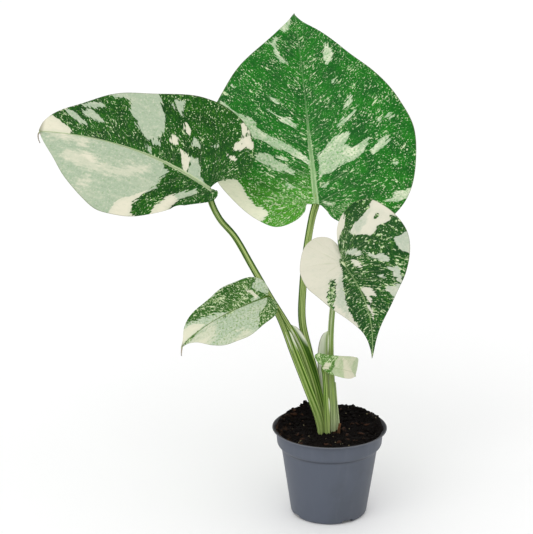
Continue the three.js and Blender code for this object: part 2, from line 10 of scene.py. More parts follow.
import bmesh
import bpy
import numpy as np
from bpy.props import FloatProperty, FloatVectorProperty, IntProperty, PointerProperty
from bpy.types import Operator, Panel, PropertyGroup
from mathutils import Matrix, Vector, noise
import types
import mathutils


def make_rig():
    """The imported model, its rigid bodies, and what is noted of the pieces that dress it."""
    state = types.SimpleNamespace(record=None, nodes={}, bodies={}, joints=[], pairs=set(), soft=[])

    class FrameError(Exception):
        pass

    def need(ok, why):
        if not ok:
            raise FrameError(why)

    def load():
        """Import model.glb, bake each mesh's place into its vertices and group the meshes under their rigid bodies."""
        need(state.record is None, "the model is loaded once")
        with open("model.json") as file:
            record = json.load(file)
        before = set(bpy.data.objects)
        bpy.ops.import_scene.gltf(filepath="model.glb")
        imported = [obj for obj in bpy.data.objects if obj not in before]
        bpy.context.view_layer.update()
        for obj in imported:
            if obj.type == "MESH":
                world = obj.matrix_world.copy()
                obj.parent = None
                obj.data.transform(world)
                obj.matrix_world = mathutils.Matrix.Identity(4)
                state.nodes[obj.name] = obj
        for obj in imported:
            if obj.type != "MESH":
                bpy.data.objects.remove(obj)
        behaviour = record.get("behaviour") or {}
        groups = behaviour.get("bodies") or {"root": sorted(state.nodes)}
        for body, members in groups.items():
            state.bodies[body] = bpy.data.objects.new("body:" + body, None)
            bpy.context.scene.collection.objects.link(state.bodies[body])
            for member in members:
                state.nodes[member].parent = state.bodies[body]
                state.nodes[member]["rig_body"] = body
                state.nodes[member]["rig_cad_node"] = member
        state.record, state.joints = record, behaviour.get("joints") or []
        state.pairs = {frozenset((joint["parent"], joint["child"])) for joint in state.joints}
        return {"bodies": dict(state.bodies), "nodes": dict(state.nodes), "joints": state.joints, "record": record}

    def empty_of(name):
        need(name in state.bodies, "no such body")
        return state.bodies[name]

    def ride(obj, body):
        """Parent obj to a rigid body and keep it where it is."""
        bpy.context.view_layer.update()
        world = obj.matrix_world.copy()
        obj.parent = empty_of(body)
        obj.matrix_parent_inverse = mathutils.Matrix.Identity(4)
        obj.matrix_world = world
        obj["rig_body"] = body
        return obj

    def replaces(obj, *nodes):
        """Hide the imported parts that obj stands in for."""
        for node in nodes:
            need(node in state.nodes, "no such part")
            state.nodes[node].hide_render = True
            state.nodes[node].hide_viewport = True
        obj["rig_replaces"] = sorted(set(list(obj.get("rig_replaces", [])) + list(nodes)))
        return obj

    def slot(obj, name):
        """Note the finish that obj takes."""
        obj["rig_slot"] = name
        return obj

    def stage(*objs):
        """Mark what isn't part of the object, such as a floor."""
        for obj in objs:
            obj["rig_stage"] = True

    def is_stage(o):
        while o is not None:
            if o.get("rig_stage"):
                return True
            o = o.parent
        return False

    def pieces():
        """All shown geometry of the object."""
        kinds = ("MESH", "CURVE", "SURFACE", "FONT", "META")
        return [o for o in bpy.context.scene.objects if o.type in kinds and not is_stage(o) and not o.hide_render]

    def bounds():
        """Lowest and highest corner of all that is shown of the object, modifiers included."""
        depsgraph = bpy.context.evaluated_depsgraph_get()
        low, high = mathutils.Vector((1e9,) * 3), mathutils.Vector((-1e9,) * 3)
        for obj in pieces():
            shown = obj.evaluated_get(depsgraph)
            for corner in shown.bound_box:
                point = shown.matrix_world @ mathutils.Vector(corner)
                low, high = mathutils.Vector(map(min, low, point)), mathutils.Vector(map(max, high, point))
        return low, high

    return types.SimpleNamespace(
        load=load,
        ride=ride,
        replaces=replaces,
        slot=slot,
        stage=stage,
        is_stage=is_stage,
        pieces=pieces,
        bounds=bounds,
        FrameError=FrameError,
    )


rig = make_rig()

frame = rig.load()
cad_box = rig.bounds()

bl_info = {
    "name": "Variegated Monstera in a Nursery Pot",
    "version": (1, 0, 0),
    "blender": (4, 5, 0),
    "location": "View3D > Sidebar > Plant",
    "description": "Builds the blades, stalks, soil and pot of a young variegated monstera",
    "category": "Object",
}

MM = 0.001
BODY = "root"
SIZE_FILE = "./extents.json"


def shade(red, green, blue):
    """A colour given on a 0 to 255 scale, as the linear colour that materials use."""
    def linear(value):
        value /= 255
        return value / 12.92 if value <= 0.04045 else ((value + 0.055) / 1.055) ** 2.4
    return (linear(red), linear(green), linear(blue))


# The blades, posed and outlined as in the part's source. Flat, a blade has its stalk at (0, 0) and
# its midrib along +y. The rest is for its paint:
#   greens, lobe_green   deep, fresh and light tones, and the tone behind the stalk
#   lobe_weights         how strong that tone is left and right of the stalk
#   tints                what scales the cream and the pale tone, on the top leaf also as
#                        painted light that brightens its shaded cream
#   rib                  the midrib's width at the stalk and further on, and its strength there
#   veins                how strongly the side veins show
#   specks, lobe_specks  how many fine specks there are, and how many more behind the stalk
#   streaked             how far the specks are drawn out along the veins
#   ragged               how far the edges of the patches stray
#   flecked              how green the flecks in the pale patches are
#   flow, marbled        what the marbling of the pale patches follows, the veins or the midrib
#                        (flat), and its strength
#   cream, pale, green   outlines of the patches, with the green ones over the others
#   warm, cool           soft cream parts of the pale patches and grey-green parts of the cream ones
LEAVES = {
    "top": {
        "base": (-14.6, 42, 324.5), "aim": (-0.1, 0.5, 0.86), "face": (0, -0.87, 0.5),
        "length": 210, "pitch": (0, -22), "yaw": (-3, 3), "fold": (9, 9), "curl": (-14, -14),
        "lobe": -25, "midrib": 2.8, "wave": (2, 64), "cells": (11, 15),
        "right_notch": [(4, -2), (9, -8)],
        "right_margin": [(15, -17), (34, -28), (50, -32), (67, -27), (82, -18), (97, 0), (108, 34),
                         (110, 73), (98, 108), (75, 140), (45, 175), (10, 214), (0, 233)],
        "left_notch": [(-3, 0.5), (-6.5, 2.8), (-10, -0.5), (-13, -8)],
        "left_margin": [(-24, -17), (-44, -22), (-63, -12), (-85, 10), (-101, 34), (-108, 69),
                        (-101, 105), (-78, 144), (-51, 177), (-20, 206), (-8, 219), (0, 233)],
        "greens": (shade(4, 74, 16), shade(20, 114, 12), shade(70, 152, 58)),
        "lobe_green": shade(82, 158, 34), "lobe_weights": (1.3, 0.1),
        # The top leaf's raised cream tint is partly painted light on its shaded part
        "tints": ((1.24, 1.3, 1.26), (0.99, 1.08, 0.94)),
        "rib": (2.9, 0.7, 0.88, 0.18), "rib_tone": shade(176, 202, 152), "veins": 0.5,
        "specks": 0.82, "flecked": 0.7, "flow": "vein", "marbled": 0.9, "streaked": 0.25,
        "lobe_specks": 0.03, "ragged": 0.75, "slot": "blade_green",
        "cream": [
            [(-79, 31), (-74, 22), (-71, 14), (-63, 3), (-52, -3), (-51, -9), (-57, -13),
             (-66, -20), (-95, -6), (-112, 34)],
        ],
        "pale": [
            [(-78, 138), (-76, 139), (-75, 134), (-77, 133)],
            [(86, 93), (90, 90), (84, 83), (82, 86)],
            [(30, 134), (33, 135), (33, 131), (31, 130)],
            [(-5, 223), (-12, 222), (-24, 210), (-18, 206), (-13, 204), (-8, 207), (-7, 215)],
            [(-88, 122), (-73, 105), (-63, 99), (-55, 90), (-54, 84), (-46, 80), (-37, 73),
             (-21, 65), (-11, 57), (0, 45), (-1, 41), (-12, 49), (-25, 58), (-39, 64), (-50, 71),
             (-61, 78), (-70, 90), (-84, 106), (-104, 112)],
            [(-38, 192), (-31, 190), (-27, 196), (-22, 195), (-24, 189), (-25, 182), (-23, 175),
             (-20, 167), (-15, 161), (-21, 161), (-25, 167), (-28, 174), (-28, 182), (-30, 186)],
            [(29, 181), (33, 175), (35, 168), (32, 161), (27, 155), (24, 162), (24, 171)],
            [(50, 115), (49, 109), (42, 101), (38, 99), (43, 108)],
            [(52, 98), (45, 88), (39, 84), (27, 77), (31, 83), (39, 90), (45, 93)],
            [(-38, 121), (-32, 119), (-27, 112), (-32, 112), (-37, 117)],
            [(-41, 106), (-34, 101), (-28, 97), (-18, 95), (-10, 83), (-19, 86), (-27, 91),
             (-33, 99)],
            [(-59, 58), (-48, 58), (-43, 56), (-38, 50), (-28, 44), (-19, 36), (-20, 33), (-29, 35),
             (-39, 39), (-49, 45), (-58, 51)],
            [(-38, 55), (-30, 52), (-25, 47), (-32, 49)],
            [(7, 51), (15, 58), (23, 68), (32, 72), (42, 74), (41, 66), (37, 60), (41, 56),
             (48, 56), (54, 61), (62, 64), (61, 58), (54, 50), (46, 43), (38, 40), (27, 37),
             (19, 33), (10, 28), (6, 26)],
            [(82, 66), (84, 61), (75, 54), (64, 45), (62, 50), (72, 61)],
            [(74, 87), (78, 84), (75, 80), (72, 83)],
            [(82, 36), (90, 37), (87, 32)],
            [(80, 1), (92, 4), (103, 8), (99, -2), (89, -6), (84, -9), (73, -6), (79, -3)],
            [(7, 1), (18, -2), (17, -5), (9, -2)],
            [(7, 19), (16, 21), (15, 18), (8, 16)],
            [(-34, 25), (-26, 23), (-20, 18), (-27, 19)],
        ],
        "green": [], "warm": [], "cool": [],
    },
    "left": {
        "base": (-121.9, -38, 358.4), "aim": (-0.81, 0.18, 0.56), "face": (0.25, -0.75, 0.62),
        "length": 195, "pitch": (-16, -17), "yaw": (38.6, -18), "fold": (8, 8), "curl": (-12, -12),
        "lobe": -20, "midrib": 2.6, "wave": (1.5, 58), "cells": (8, 15),
        "right_notch": [(4, 0), (11, -2), (18, -7)],
        "right_margin": [(35, -19), (56, -16), (78, 4), (88, 30), (85, 47), (73, 72), (58, 109),
                         (41, 140), (24, 168), (10, 181), (0, 184)],
        "left_notch": [(2, -2), (3, -6)],
        "left_margin": [(-0.5, -10), (-7, -10), (-14, -6), (-34, 11), (-56, 30), (-74, 61),
                        (-79, 90), (-69, 114), (-52, 139), (-30, 159), (-10, 177), (0, 184)],
        "roll": [(4, -6), (-3, -3), (-12, 4), (-21, 10.5), (-30, 17), (-41, 20.5), (-52, 18),
                 (-34, 0), (-12, -22), (4, -22)],
        "drip": [(0, 0, 0), (-2, -1, -2.5), (-2, -2, -7), (-0.5, -2, -11.5)],
        "greens": (shade(4, 52, 6), shade(20, 88, 4), shade(82, 140, 38)),
        "lobe_green": shade(22, 76, 22), "tints": ((1, 1, 1), (1, 1, 1)),
        "rib": (2, 0.7, 0.9, 0.75), "rib_tone": shade(188, 200, 158), "veins": 0.12,
        "specks": 0.75, "flecked": 0.3, "flow": "flat", "marbled": 0.25, "streaked": 0,
        "lobe_specks": -0.015, "ragged": 0.8, "slot": "blade_dark",
        "cream": [
            [(0, 192), (0, 151), (3, 150), (7, 155), (9, 158), (14, 165), (18, 173), (16, 192)],
            [(21, 173), (25, 166), (31, 158), (34, 152), (42, 156), (32, 172)],
            [(-39, 53), (-54, 68), (-59, 74), (-66, 78), (-74, 79), (-88, 80), (-86, 60), (-75, 56),
             (-64, 58), (-57, 60), (-49, 57)],
            [(19, 43), (18, 37), (15, 31), (10, 29), (0, 27), (2, 32), (8, 36)],
            [(79, 12), (82, 9), (76, 3), (70, 3), (71, 0), (70, -6), (62, -10), (60, -4), (54, -1),
             (49, 2), (51, 6), (56, 6), (60, 3), (68, 5), (72, 9)],
            [(48, 52), (44, 44), (37, 43), (38, 48), (44, 51)],
            [(30, 57), (31, 52), (24, 48), (20, 53), (24, 57)],
            [(-28, 26), (-37, 32), (-46, 34), (-55, 37), (-68, 36), (-64, 28), (-51, 23), (-42, 20),
             (-33, 19)],
            [(-70, 56), (-68, 46), (-64, 38), (-72, 38), (-80, 56)],
            [(41, 6), (44, 2), (42, -3), (38, 1)],
        ],
        "pale": [
            [(0, 192), (0, 52), (-5, 50), (-8, 43), (-14, 44), (-19, 47), (-31, 46), (-36, 50),
             (-47, 56), (-57, 60), (-64, 59), (-78, 56), (-98, 70), (-98, 110), (-72, 160),
             (-20, 192)],
            [(26, 161), (27, 155), (21, 147), (17, 141), (13, 137), (13, 142), (16, 150),
             (21, 158)],
            [(30, 147), (30, 138), (26, 129), (19, 121), (18, 127), (21, 135), (23, 142)],
            [(36, 149), (39, 137), (38, 125), (34, 127), (32, 136), (33, 144)],
            [(51, 126), (60, 113), (72, 99), (82, 86), (66, 82), (61, 80), (52, 76), (46, 71),
             (38, 67), (28, 65), (22, 67), (14, 63), (12, 69), (18, 72), (15, 77), (20, 83),
             (26, 90), (32, 95), (34, 99), (40, 102), (46, 102), (50, 105), (51, 111), (48, 119)],
            [(11, 75), (8, 70), (2, 66), (4, 71)],
            [(66, 70), (71, 60), (64, 59), (54, 57), (56, 62), (60, 67)],
            [(37, 41), (38, 36), (33, 29), (29, 35), (32, 38)],
            [(16, 33), (21, 26), (14, 20), (7, 16), (3, 9), (0, 4), (0, 27), (10, 29)],
            [(38, 22), (42, 20), (46, 16), (42, 17)],
            [(-10, 10), (-21, 20), (-29, 26), (-34, 20), (-26, 15), (-19, 10), (-14, 7)],
        ],
        "green": [], "cool": [],
        "warm": [
            [(-21, 148), (-19, 130), (-22, 116), (-28, 112), (-29, 103), (-26, 88), (-15, 71),
             (-13, 61), (-23, 67), (-34, 81), (-37, 98), (-36, 113), (-36, 127), (-32, 143),
             (-26, 152)],
            [(1, 184), (1, 148), (-4, 129), (-11, 132), (-8, 151), (-5, 169)],
            [(-50, 126), (-45, 115), (-49, 112), (-56, 120)],
        ],
    },
    "low_left": {
        "base": (-65.5, -22, 242.9), "aim": (-0.94, -0.23, -0.26), "face": (-0.08, -0.59, 0.81),
        "length": 110, "pitch": (-10.9, -28.8), "yaw": (10.1, 1.3), "fold": (12, 12),
        "curl": (-15, -15), "lobe": -20, "midrib": 1.8, "wave": (1, 36), "cells": (6, 12),
        "right_notch": [],
        "right_margin": [(2, -2), (7, -4), (14, -4), (21, -1), (28, 10), (29, 30), (25, 50),
                         (21, 69), (14, 87), (5, 96), (0, 102)],
        "left_notch": [],
        "left_margin": [(-2, -3), (-9, -6), (-18, -5), (-28, 1), (-37, 20), (-41, 40), (-38, 58),
                        (-26, 73), (-11, 85), (-3, 95), (0, 102)],
        "drip": [(0, 0, 0), (-0.4, -0.5, -3), (-0.8, -1, -6.5), (-0.8, -1, -10)],
        "greens": (shade(30, 80, 18), shade(60, 108, 36), shade(122, 150, 88)),
        "lobe_green": shade(50, 96, 28), "tints": ((1, 1.02, 1), (1.14, 1.13, 1.15)),
        "rib": (0.9, 0.5, 0.8, 0.7), "rib_tone": shade(84, 106, 46), "veins": 0.14,
        "specks": 1.55, "flecked": 0.85, "flow": "flat", "marbled": 0.35, "streaked": 0.3,
        "lobe_specks": 0, "ragged": 0.8, "slot": "blade_pale",
        "cream": [
            [(2, 68), (8, 75), (12, 83), (12, 98), (0, 108), (0, 82)],
            [(15, 17), (13, 12), (9, 9), (4, 8), (2, 11), (8, 13), (12, 15)],
        ],
        "pale": [
            [(0, 1), (-6, 2), (-9, 4), (-14, 8), (-18, 15), (-24, 17), (-29, 18), (-32, 21),
             (-38, 25), (-50, 28), (-52, 60), (-30, 88), (0, 110)],
            [(0, 40), (4, 50), (7, 58), (10, 68), (11, 77), (14, 82), (18, 86), (24, 94), (8, 110),
             (0, 110)],
            [(24, 50), (27, 40), (28.5, 30), (28.5, 22), (36, 22), (34, 50)],
            [(16, 10), (20, 6), (26, 0), (20, -8), (10, -8), (4, -4), (5, 2), (9, 6), (12, 9)],
            [(1, 6), (1, 16), (5, 14), (5, 8)],
        ],
        "green": [
            [(0, 34), (-3, 37), (-3, 49), (0, 50)],
            [(1, 72), (-1, 80), (-4, 88), (-2, 97), (1, 97)],
        ],
        "cool": [],
        "warm": [
            [(-44, 66), (-41, 55), (-31, 38), (-41, 25), (-54, 27), (-60, 45), (-50, 62)],
            [(-2, 62), (-10, 60), (-20, 70), (-24, 78), (-14, 90), (-4, 98)],
        ],
    },
    "right": {
        "base": (9.7, -38, 282.9), "aim": (0.48, -0.75, -0.46), "face": (-0.15, -0.59, 0.79),
        "length": 125, "pitch": (24.7, -20.2), "yaw": (-32.9, -1.1), "fold": (15, 25),
        "curl": (-20, -10), "lobe": 110, "midrib": 2.2, "wave": (1, 44), "cells": (10, 13),
        "right_notch": [(-5, -6), (-9, -14)],
        "right_margin": [(-9, -21), (-5, -30), (3, -35), (14, -37.5), (29, -33), (44, -14), (52, 9),
                         (51, 38), (40, 64), (22, 88), (8, 104), (2, 121), (0, 131)],
        "left_notch": [(-3, -9)],
        "left_margin": [(-6, -18), (-14, -35), (-26, -46), (-43, -52), (-58, -47), (-69, -27),
                        (-73, -3), (-67, 18), (-48, 45), (-29, 67), (-12, 89), (-4, 110), (0, 131)],
        "greens": (shade(6, 54, 16), shade(22, 86, 14), shade(90, 138, 54)),
        "lobe_green": shade(28, 72, 26), "tints": ((0.95, 0.96, 1), (1.2, 1.1, 1.22)),
        "rib": (0.8, 0.5, 0.45, 0.8), "rib_tone": shade(160, 184, 128), "veins": 0.25,
        "specks": 0.9, "flecked": 0.3, "flow": "vein", "marbled": 0.9, "streaked": 1,
        "lobe_specks": 0, "ragged": 0.75, "slot": "blade_dark",
        "cream": [
            [(-22, -24), (-27, -28), (-34, -32), (-42, -34), (-48, -35), (-53, -38), (-58, -44),
             (-66, -44), (-78, -30), (-78, -12), (-64, -13), (-60, -12), (-54, -14), (-47, -13),
             (-43, -10), (-39, -9), (-34, -14), (-30, -17)],
            [(-6, -22), (-14, -27), (-20, -34), (-25, -41), (-30, -50), (-18, -52), (-3, -32)],
            [(-9, 2), (-12, 7), (-14, 15), (-13, 19), (-9, 13), (-8, 7)],
            [(-1, 39), (-5, 40), (-10, 44), (-12, 52), (-12, 59), (-7, 52), (-5, 62), (-3, 56),
             (-2, 48)],
            [(0, 60), (-3, 66), (-5, 78), (-3, 84), (-2, 72), (0, 66)],
            [(3, -2), (6, 10), (11, 20), (18, 40), (20, 60), (19, 80), (12, 100), (7, 112),
             (4, 124), (30, 112), (62, 60), (62, -20), (30, -46), (-6, -42), (-4, -24), (-1, -8)],
        ],
        "pale": [
            [(-62, 8), (-70, 8), (-78, 16), (-72, 30), (-62, 30), (-58, 27), (-55, 22), (-54, 16),
             (-56, 12), (-53, 6), (-58, 7)],
            [(-9, -9), (-14, -8), (-18, -5), (-21, 0), (-21, 5), (-15, 3), (-11, -3), (-8, -6)],
            [(-23, 3), (-27, 7), (-31, 15), (-35, 13), (-38, 15), (-40, 22), (-38, 27), (-34, 24),
             (-31, 20), (-26, 14)],
            [(-34, 33), (-43, 35), (-45, 40), (-42, 44), (-42, 51), (-39, 56), (-37, 49),
             (-36, 40)],
            [(-25, 51), (-30, 54), (-36, 55), (-42, 58), (-36, 68), (-28, 70), (-25, 60),
             (-23, 55)],
            [(-28, 66), (-23, 78), (-16, 92), (-11, 102), (-14, 106), (-24, 92), (-34, 76)],
            [(-23, 34), (-27, 37), (-28, 42), (-24, 39)],
        ],
        "green": [
            [(-52, -24), (-56, -28), (-60, -25), (-56, -23)],
            [(-66, -18), (-70, -16), (-66, -13)],
            [(26, 21), (20, 22), (24, 36), (28, 49), (33, 62), (36, 71), (40, 68), (38, 55),
             (35, 45), (31, 33)],
        ],
        "warm": [],
        "cool": [
            [(1, 4), (18, 24), (26, 44), (32, 64), (25, 76), (22, 88), (16, 47), (9, 22)],
            [(-22, -22), (-31, -32), (-43, -36), (-51, -34), (-42, -24), (-32, -20)],
        ],
    },
    "tiny": {
        "base": (-6.9, -14, 165.8), "aim": (0.99, 0, -0.14), "face": (0, -0.86, 0.5),
        "length": 64, "pitch": (-6, -170), "yaw": (0, 0), "fold": (8, 8), "curl": (-20, -20),
        "lobe": -20, "midrib": 1.2, "wave": (0.4, 22), "cells": (5, 11),
        "right_notch": [],
        "right_margin": [(1, -2), (3.5, -0.5), (6.4, 4.2), (7.9, 12), (8.9, 22), (7.6, 30),
                         (4.5, 37), (2, 44), (0, 54)],
        "left_notch": [],
        "left_margin": [(-1, -2), (-3, -6.6), (-9.5, -11), (-12.8, -8), (-12.5, 4), (-13.5, 16),
                        (-15.5, 30), (-15.5, 41), (-8, 50), (0, 54)],
        "greens": (shade(58, 104, 34), shade(96, 140, 62), shade(150, 180, 112)),
        "lobe_green": shade(92, 132, 60), "tints": ((1, 1, 0.98), (1.2, 1.16, 1)),
        "rib": (0.5, 0.3, 0.35, 0.2), "rib_tone": shade(140, 160, 110), "veins": 0.14,
        "specks": 1.7, "flecked": 0.3, "flow": "vein", "marbled": 0.9, "streaked": 0,
        "lobe_specks": 0.015, "ragged": 0.7, "slot": "blade_pale",
        "cream": [
            [(-3, 0), (-4, 4), (-3, 6), (2, 5), (3, 2), (2, -1)],
            [(-14, 17), (-11, 21), (-8, 24), (-4, 27), (0, 33), (3, 38), (12, 44), (12, 22),
             (2, 21), (-5, 20), (-10, 18)],
        ],
        "pale": [
            [(-9, 12), (-15, 15), (-17, 24), (12, 26), (12, 12), (4, 8), (-2, 11)],
            [(-5, 18), (-18, 16), (-18, 58), (12, 58), (8, 34), (0, 24)],
        ],
        "green": [], "warm": [], "cool": [],
    },
}

# The stalks, as in the part's source. facing is where the channel looks. sheath is the width of its
# two wings, their spread in degrees and the height of their top, and sheath_taper how late they end
# there. membrane is how thin and pale each wing is. seat is how far along and under the midrib the
# stalk ends.
STALKS = {
    "petiole_top": {
        "points": [(-1, 12, 78), (-5.3, 11.6, 95), (-10.8, 9.8, 120), (-21.2, 7, 171),
                   (-29.2, 7, 208), (-28.6, 14, 243), (-24.4, 28, 281), (-18.8, 41, 310)],
        "leaf": "top", "seat": (2, 3.9), "radius": (4.3, 3.5), "facing": (0.7, -0.7, 0.3),
        "sheath": (1.5, 1.5, 30, 168), "membrane": (0.2, 0.2), "tone": "green",
    },
    "petiole_left": {
        "points": [(-7.5, 2.5, 78), (-9.7, 1.5, 98), (-14.5, 0, 123), (-25, -0.5, 160),
                   (-38.5, 0, 194), (-64, 1, 238), (-81, -6, 271), (-98, -18, 305),
                   (-112.5, -29, 326), (-120.3, -34.8, 344)],
        "leaf": "left", "seat": (0, 3.6), "radius": (4.1, 2.8), "facing": (0.8, -0.45, 0.4),
        "sheath": (9, 5, 38, 203), "membrane": (0.1, 0.1), "tone": "green",
    },
    "petiole_low_left": {
        "points": [(-8.5, -5.5, 78), (-9.7, -6.7, 93), (-13, -8.5, 108), (-26, -12.5, 145),
                   (-39, -16, 181), (-51, -18, 215), (-59, -19, 232)],
        "leaf": "low_left", "seat": (0, 2.2), "radius": (3.4, 2.7), "facing": (0.6, -0.6, 0.5),
        "sheath": (4.5, 2.5, 42, 205), "membrane": (0.1, 0.1), "tone": "green",
    },
    "petiole_right": {
        "points": [(3.8, 0, 78), (3.8, 0, 92), (3.2, 2, 122), (1.5, 4, 150), (0.5, 5, 177),
                   (0.5, 3.5, 199), (2, -2.5, 227), (5, -14, 250), (8, -27, 270)],
        "leaf": "right", "seat": (0.5, 1.2), "radius": (3.6, 2.6), "facing": (-0.9, -0.3, 0.2),
        "sheath": (4, 17, 40, 197), "sheath_taper": 3.5, "membrane": (0.1, 1), "tone": "pale",
    },
    "petiole_tiny": {
        "points": [(-2, -7.5, 78), (-3.5, -9, 98), (-4.5, -11, 120), (-5.5, -12, 142),
                   (-6.5, -11, 156)],
        "leaf": "tiny", "seat": (0, 2.5), "radius": (2.6, 2), "facing": (0.9, 0.3, 0),
        "sheath": (2.5, 2.5, 40, 132), "membrane": (0.3, 0.3), "tone": "green",
    },
    "outer_sheath": {
        "points": [(10, 2.5, 78), (9.6, 2.5, 92), (7.6, 3.4, 115), (5.4, 4.6, 142)],
        "radius": (2, 0.7), "facing": (-0.5, -0.9, 0), "sheath": (1.2, 1.2, 45, 128),
        "membrane": (0.3, 0.3), "tone": "pale", "slot": "petiole",
    },
    "dry_sheath": {
        "points": [(9.3, -5, 78), (9.5, -5.3, 88), (10, -5.8, 95), (10.6, -5.6, 100)],
        "radius": (2, 1.1), "facing": (-1, 0.3, 0), "sheath": (1.2, 1.2, 60, 97),
        "membrane": (0.5, 0.5), "tone": "dry",
    },
}

STALK_SLOTS = {"green": "petiole", "pale": "petiole_pale", "dry": "dry_sheath"}

# Side veins: how steeply they leave the midrib and how that grows towards the tip, how far they
# sag, and how many share the length of a blade
VEIN_SLOPE = 0.55
VEIN_STEEPENING = 0.8
VEIN_BOW = 0.2
VEIN_COUNT = 14

# The flat grid of half a blade: rows behind and ahead of the stalk for each cell in the table, the
# points of a row, which crowd together towards the midrib, and where the side veins of a lobe count
# from, as a share of the length
LOBE_ROWS = 6
ALONG_ROWS = 8
ACROSS_CELLS = 54
ROW_CROWDING = 1.15
LAST_SHARES = (0.993, 1)
LOBE_VEIN_DROP = 1 / 3
MARGIN_SAMPLES = 2401
CURVE_SAMPLES = 401

# The relief of a blade in mm and shares, and the steps in which it bends
MIDRIB_WIDTH = 3
MIDRIB_START = 9
MIDRIB_TIP_SHARE = 0.1
GROOVE_WIDTH = 1.1
GROOVE_SHARE = 0.25
MARGIN_THINNING = 0.4
UNDER_RELIEF = 0.8
CURL_LENGTH = 100
FURTHEST_STATION = 1.15
BEND_STEPS = 60
HALF_INSET = 0.5
FAR_OUTSIDE = -60.0
ROLL_RADIUS = 3.4

# The stalks and their winged sheaths in mm, shares and degrees
STEM_TOP = 83
SOIL_LINE = 89
WING_ROOT = 1.5
WING_TIP = 0.7
WING_BASE_SHARE = 0.1
WING_SWELL = 0.75
WING_STATIONS = (0, 0.3, 0.6, 0.85, 1)
WING_CLEARANCE = 24
ROUND_POINTS = 26
SHEATH_TAPER = 8
SHEATH_TOP_LENGTH = 34
CHANNEL_DEPTH = 0.2
KNEE_SWELLING = 0.12
KNEE_SHARE = 0.06
STALK_SAMPLES = 600
STALK_RINGS = 150
SHEATH_RINGS = 50

# How a stalk runs on under the midrib: distance past its seat, shares of its depth and its radius
SEAT_TAIL = [(0, 1, 1), (5, 0.75, 0.77), (12, 0.45, 0.35)]
TAIL_CLEARANCE = 0.3

# The dried thread at the tip of a blade. Its radius: at its root, and how much it narrows
DRIP_RINGS = 24
DRIP_SIDES = 12
DRIP_RADIUS = (0.85, 0.45)
DRIP_OVERLAP = 1.5

# The pot's profile from the middle of its base round to the inside: radius, height and rounding
POT_OUTSIDE = [(39.6, 0, 4.6), (50.2, 72.2, 1), (54.8, 77.6, 2), (56, 92, 0.8)]
POT_INSIDE = [(54.7, 92, 0.8), (53.55, 78.2, 1), (49.05, 72.8, 1), (38.4, 1.3, 3.2)]
POT_LIP = (59.3, 94.3, 0.7)
POT_FLOOR = 1.3
BEND_POINTS = 7
DRAIN_ANGLES = (-62, 28, 118, 208)
DRAIN_RADIUS = 39.6
DRAIN_SIZE = (14, 13, 8)
DRAIN_ROUNDING = 0.6
# Height and half width in mm of the painted shade along the crease under the collar
SHADED_CREASE_HEIGHT = 74.5
SHADED_CREASE_HALF_WIDTH = 1.7

# The soil: a heap towards the back as height, start and end along y, one along the rim there as
# height, inner and outer radius, start and end, round lumps as place, height and radius, and its
# outline down the wall of the pot
BACK_HEAP = (8, 5, 46)
RIM_HEAP = (9.3, 38, 51, -16, 14)
SOIL_LUMPS = [(-25, 42, 7.5, 4.5), (-33, 30, 2, 12), (24, 44, 2, 9), (42, 8, 3, 14),
              (-40, -8, 2.5, 12), (-20, -36, 1.5, 9), (22, -34, 2, 11), (-21, 46, 2, 3),
              (34, 37, 1.5, 7)]
SOIL_EDGE = (56.4, 93.1)
SOIL_WALL = [(55.3, 91.6), (54.2, 78.3), (49.6, 72.5), (38, 4), (35, 2), (0.5, 2)]
SOIL_RINGS = 74
SOIL_SEGMENTS = 220
SCATTER_RADIUS = 53
SMALL_GRAIN = 1.6

# What lies in the soil: the setting with its number, its sizes, its stretch along each axis, the
# seed of its places, and how far its middle is above the soil as a share of its size
SCATTERED = {
    "peat_crumbs": ("crumbs", (0.6, 2.3), ((0.8, 1.5), (0.6, 1.1), (0.5, 1)), 4, 0.25),
    "bark_chips": ("chips", (1.6, 3.2), ((1, 1.7), (0.5, 0.9), (0.25, 0.5)), 11, 0.25),
    "perlite_grains": ("grains", (0.4, 1.1), ((0.8, 1.2), (0.8, 1.1), (0.7, 1)), 23, 0.7),
}

# Linear tones that no setting holds: of the blades, dried tips, stalks, pot and peat
UNDERSIDE = (0.30, 0.42, 0.24)
MARGIN_LINE = (0.12, 0.13, 0.06)
DRIED_TIP = (0.13, 0.13, 0.08)
DRIP_ROOT = (0.30, 0.34, 0.17)
DRIP_PALE = (0.30, 0.25, 0.19)
DRIP_DARK = (0.17, 0.13, 0.09)
DRIED_WING = (0.26, 0.23, 0.18)
DRY_FIBRE = (0.19, 0.095, 0.04)
DRY_BLOTCH = (0.05, 0.025, 0.013)
STALK_SOIL = (0.05, 0.035, 0.02)
# Tint of the pot's warmer clouds, also its painted shade on the right side
WARM_AND_SHADED_TINT = (0.8, 0.78, 0.72)
POT_CRUMB = (0.04, 0.028, 0.02)
# Near black painted shade for the pot's inner wall above the soil
SHADE_INSIDE_RIM = (0.02, 0.017, 0.015)
PEAT_FIBRE = (0.024, 0.012, 0.008)
RUSTY_PEAT = (0.09, 0.045, 0.022)

# Where the pot's paint changes, in metres: heights and radii of the rubbed lip and its painted
# highlight, heights of the dust at its top and foot, the inner wall as radius, height and slope,
# the height and slope of its flare, and the heights where the painted shade on the inner wall
# starts
LIP_WEAR_AND_HIGHLIGHT_HEIGHTS = (0.0936, 0.0948)
LIP_WEAR_AND_HIGHLIGHT_RADII = (0.058, 0.0592)
DUSTY_TOP = (0.088, 0.0935)
DUSTY_FOOT = (0.0, 0.006)
INNER_WALL = (0.0541, 0.078, 0.08)
INNER_FLARE = (0.092, 1.8)
SHADE_INSIDE_START = (0.084, 0.086)

# The stage: the radius of its floor in metres, and the spread, tilt and turn of each light in
# degrees
FLOOR_RADIUS = 14
LIGHTS = {"key": (50, 48, -28), "fill": (70, 60, 40)}


# Settings that a user would change


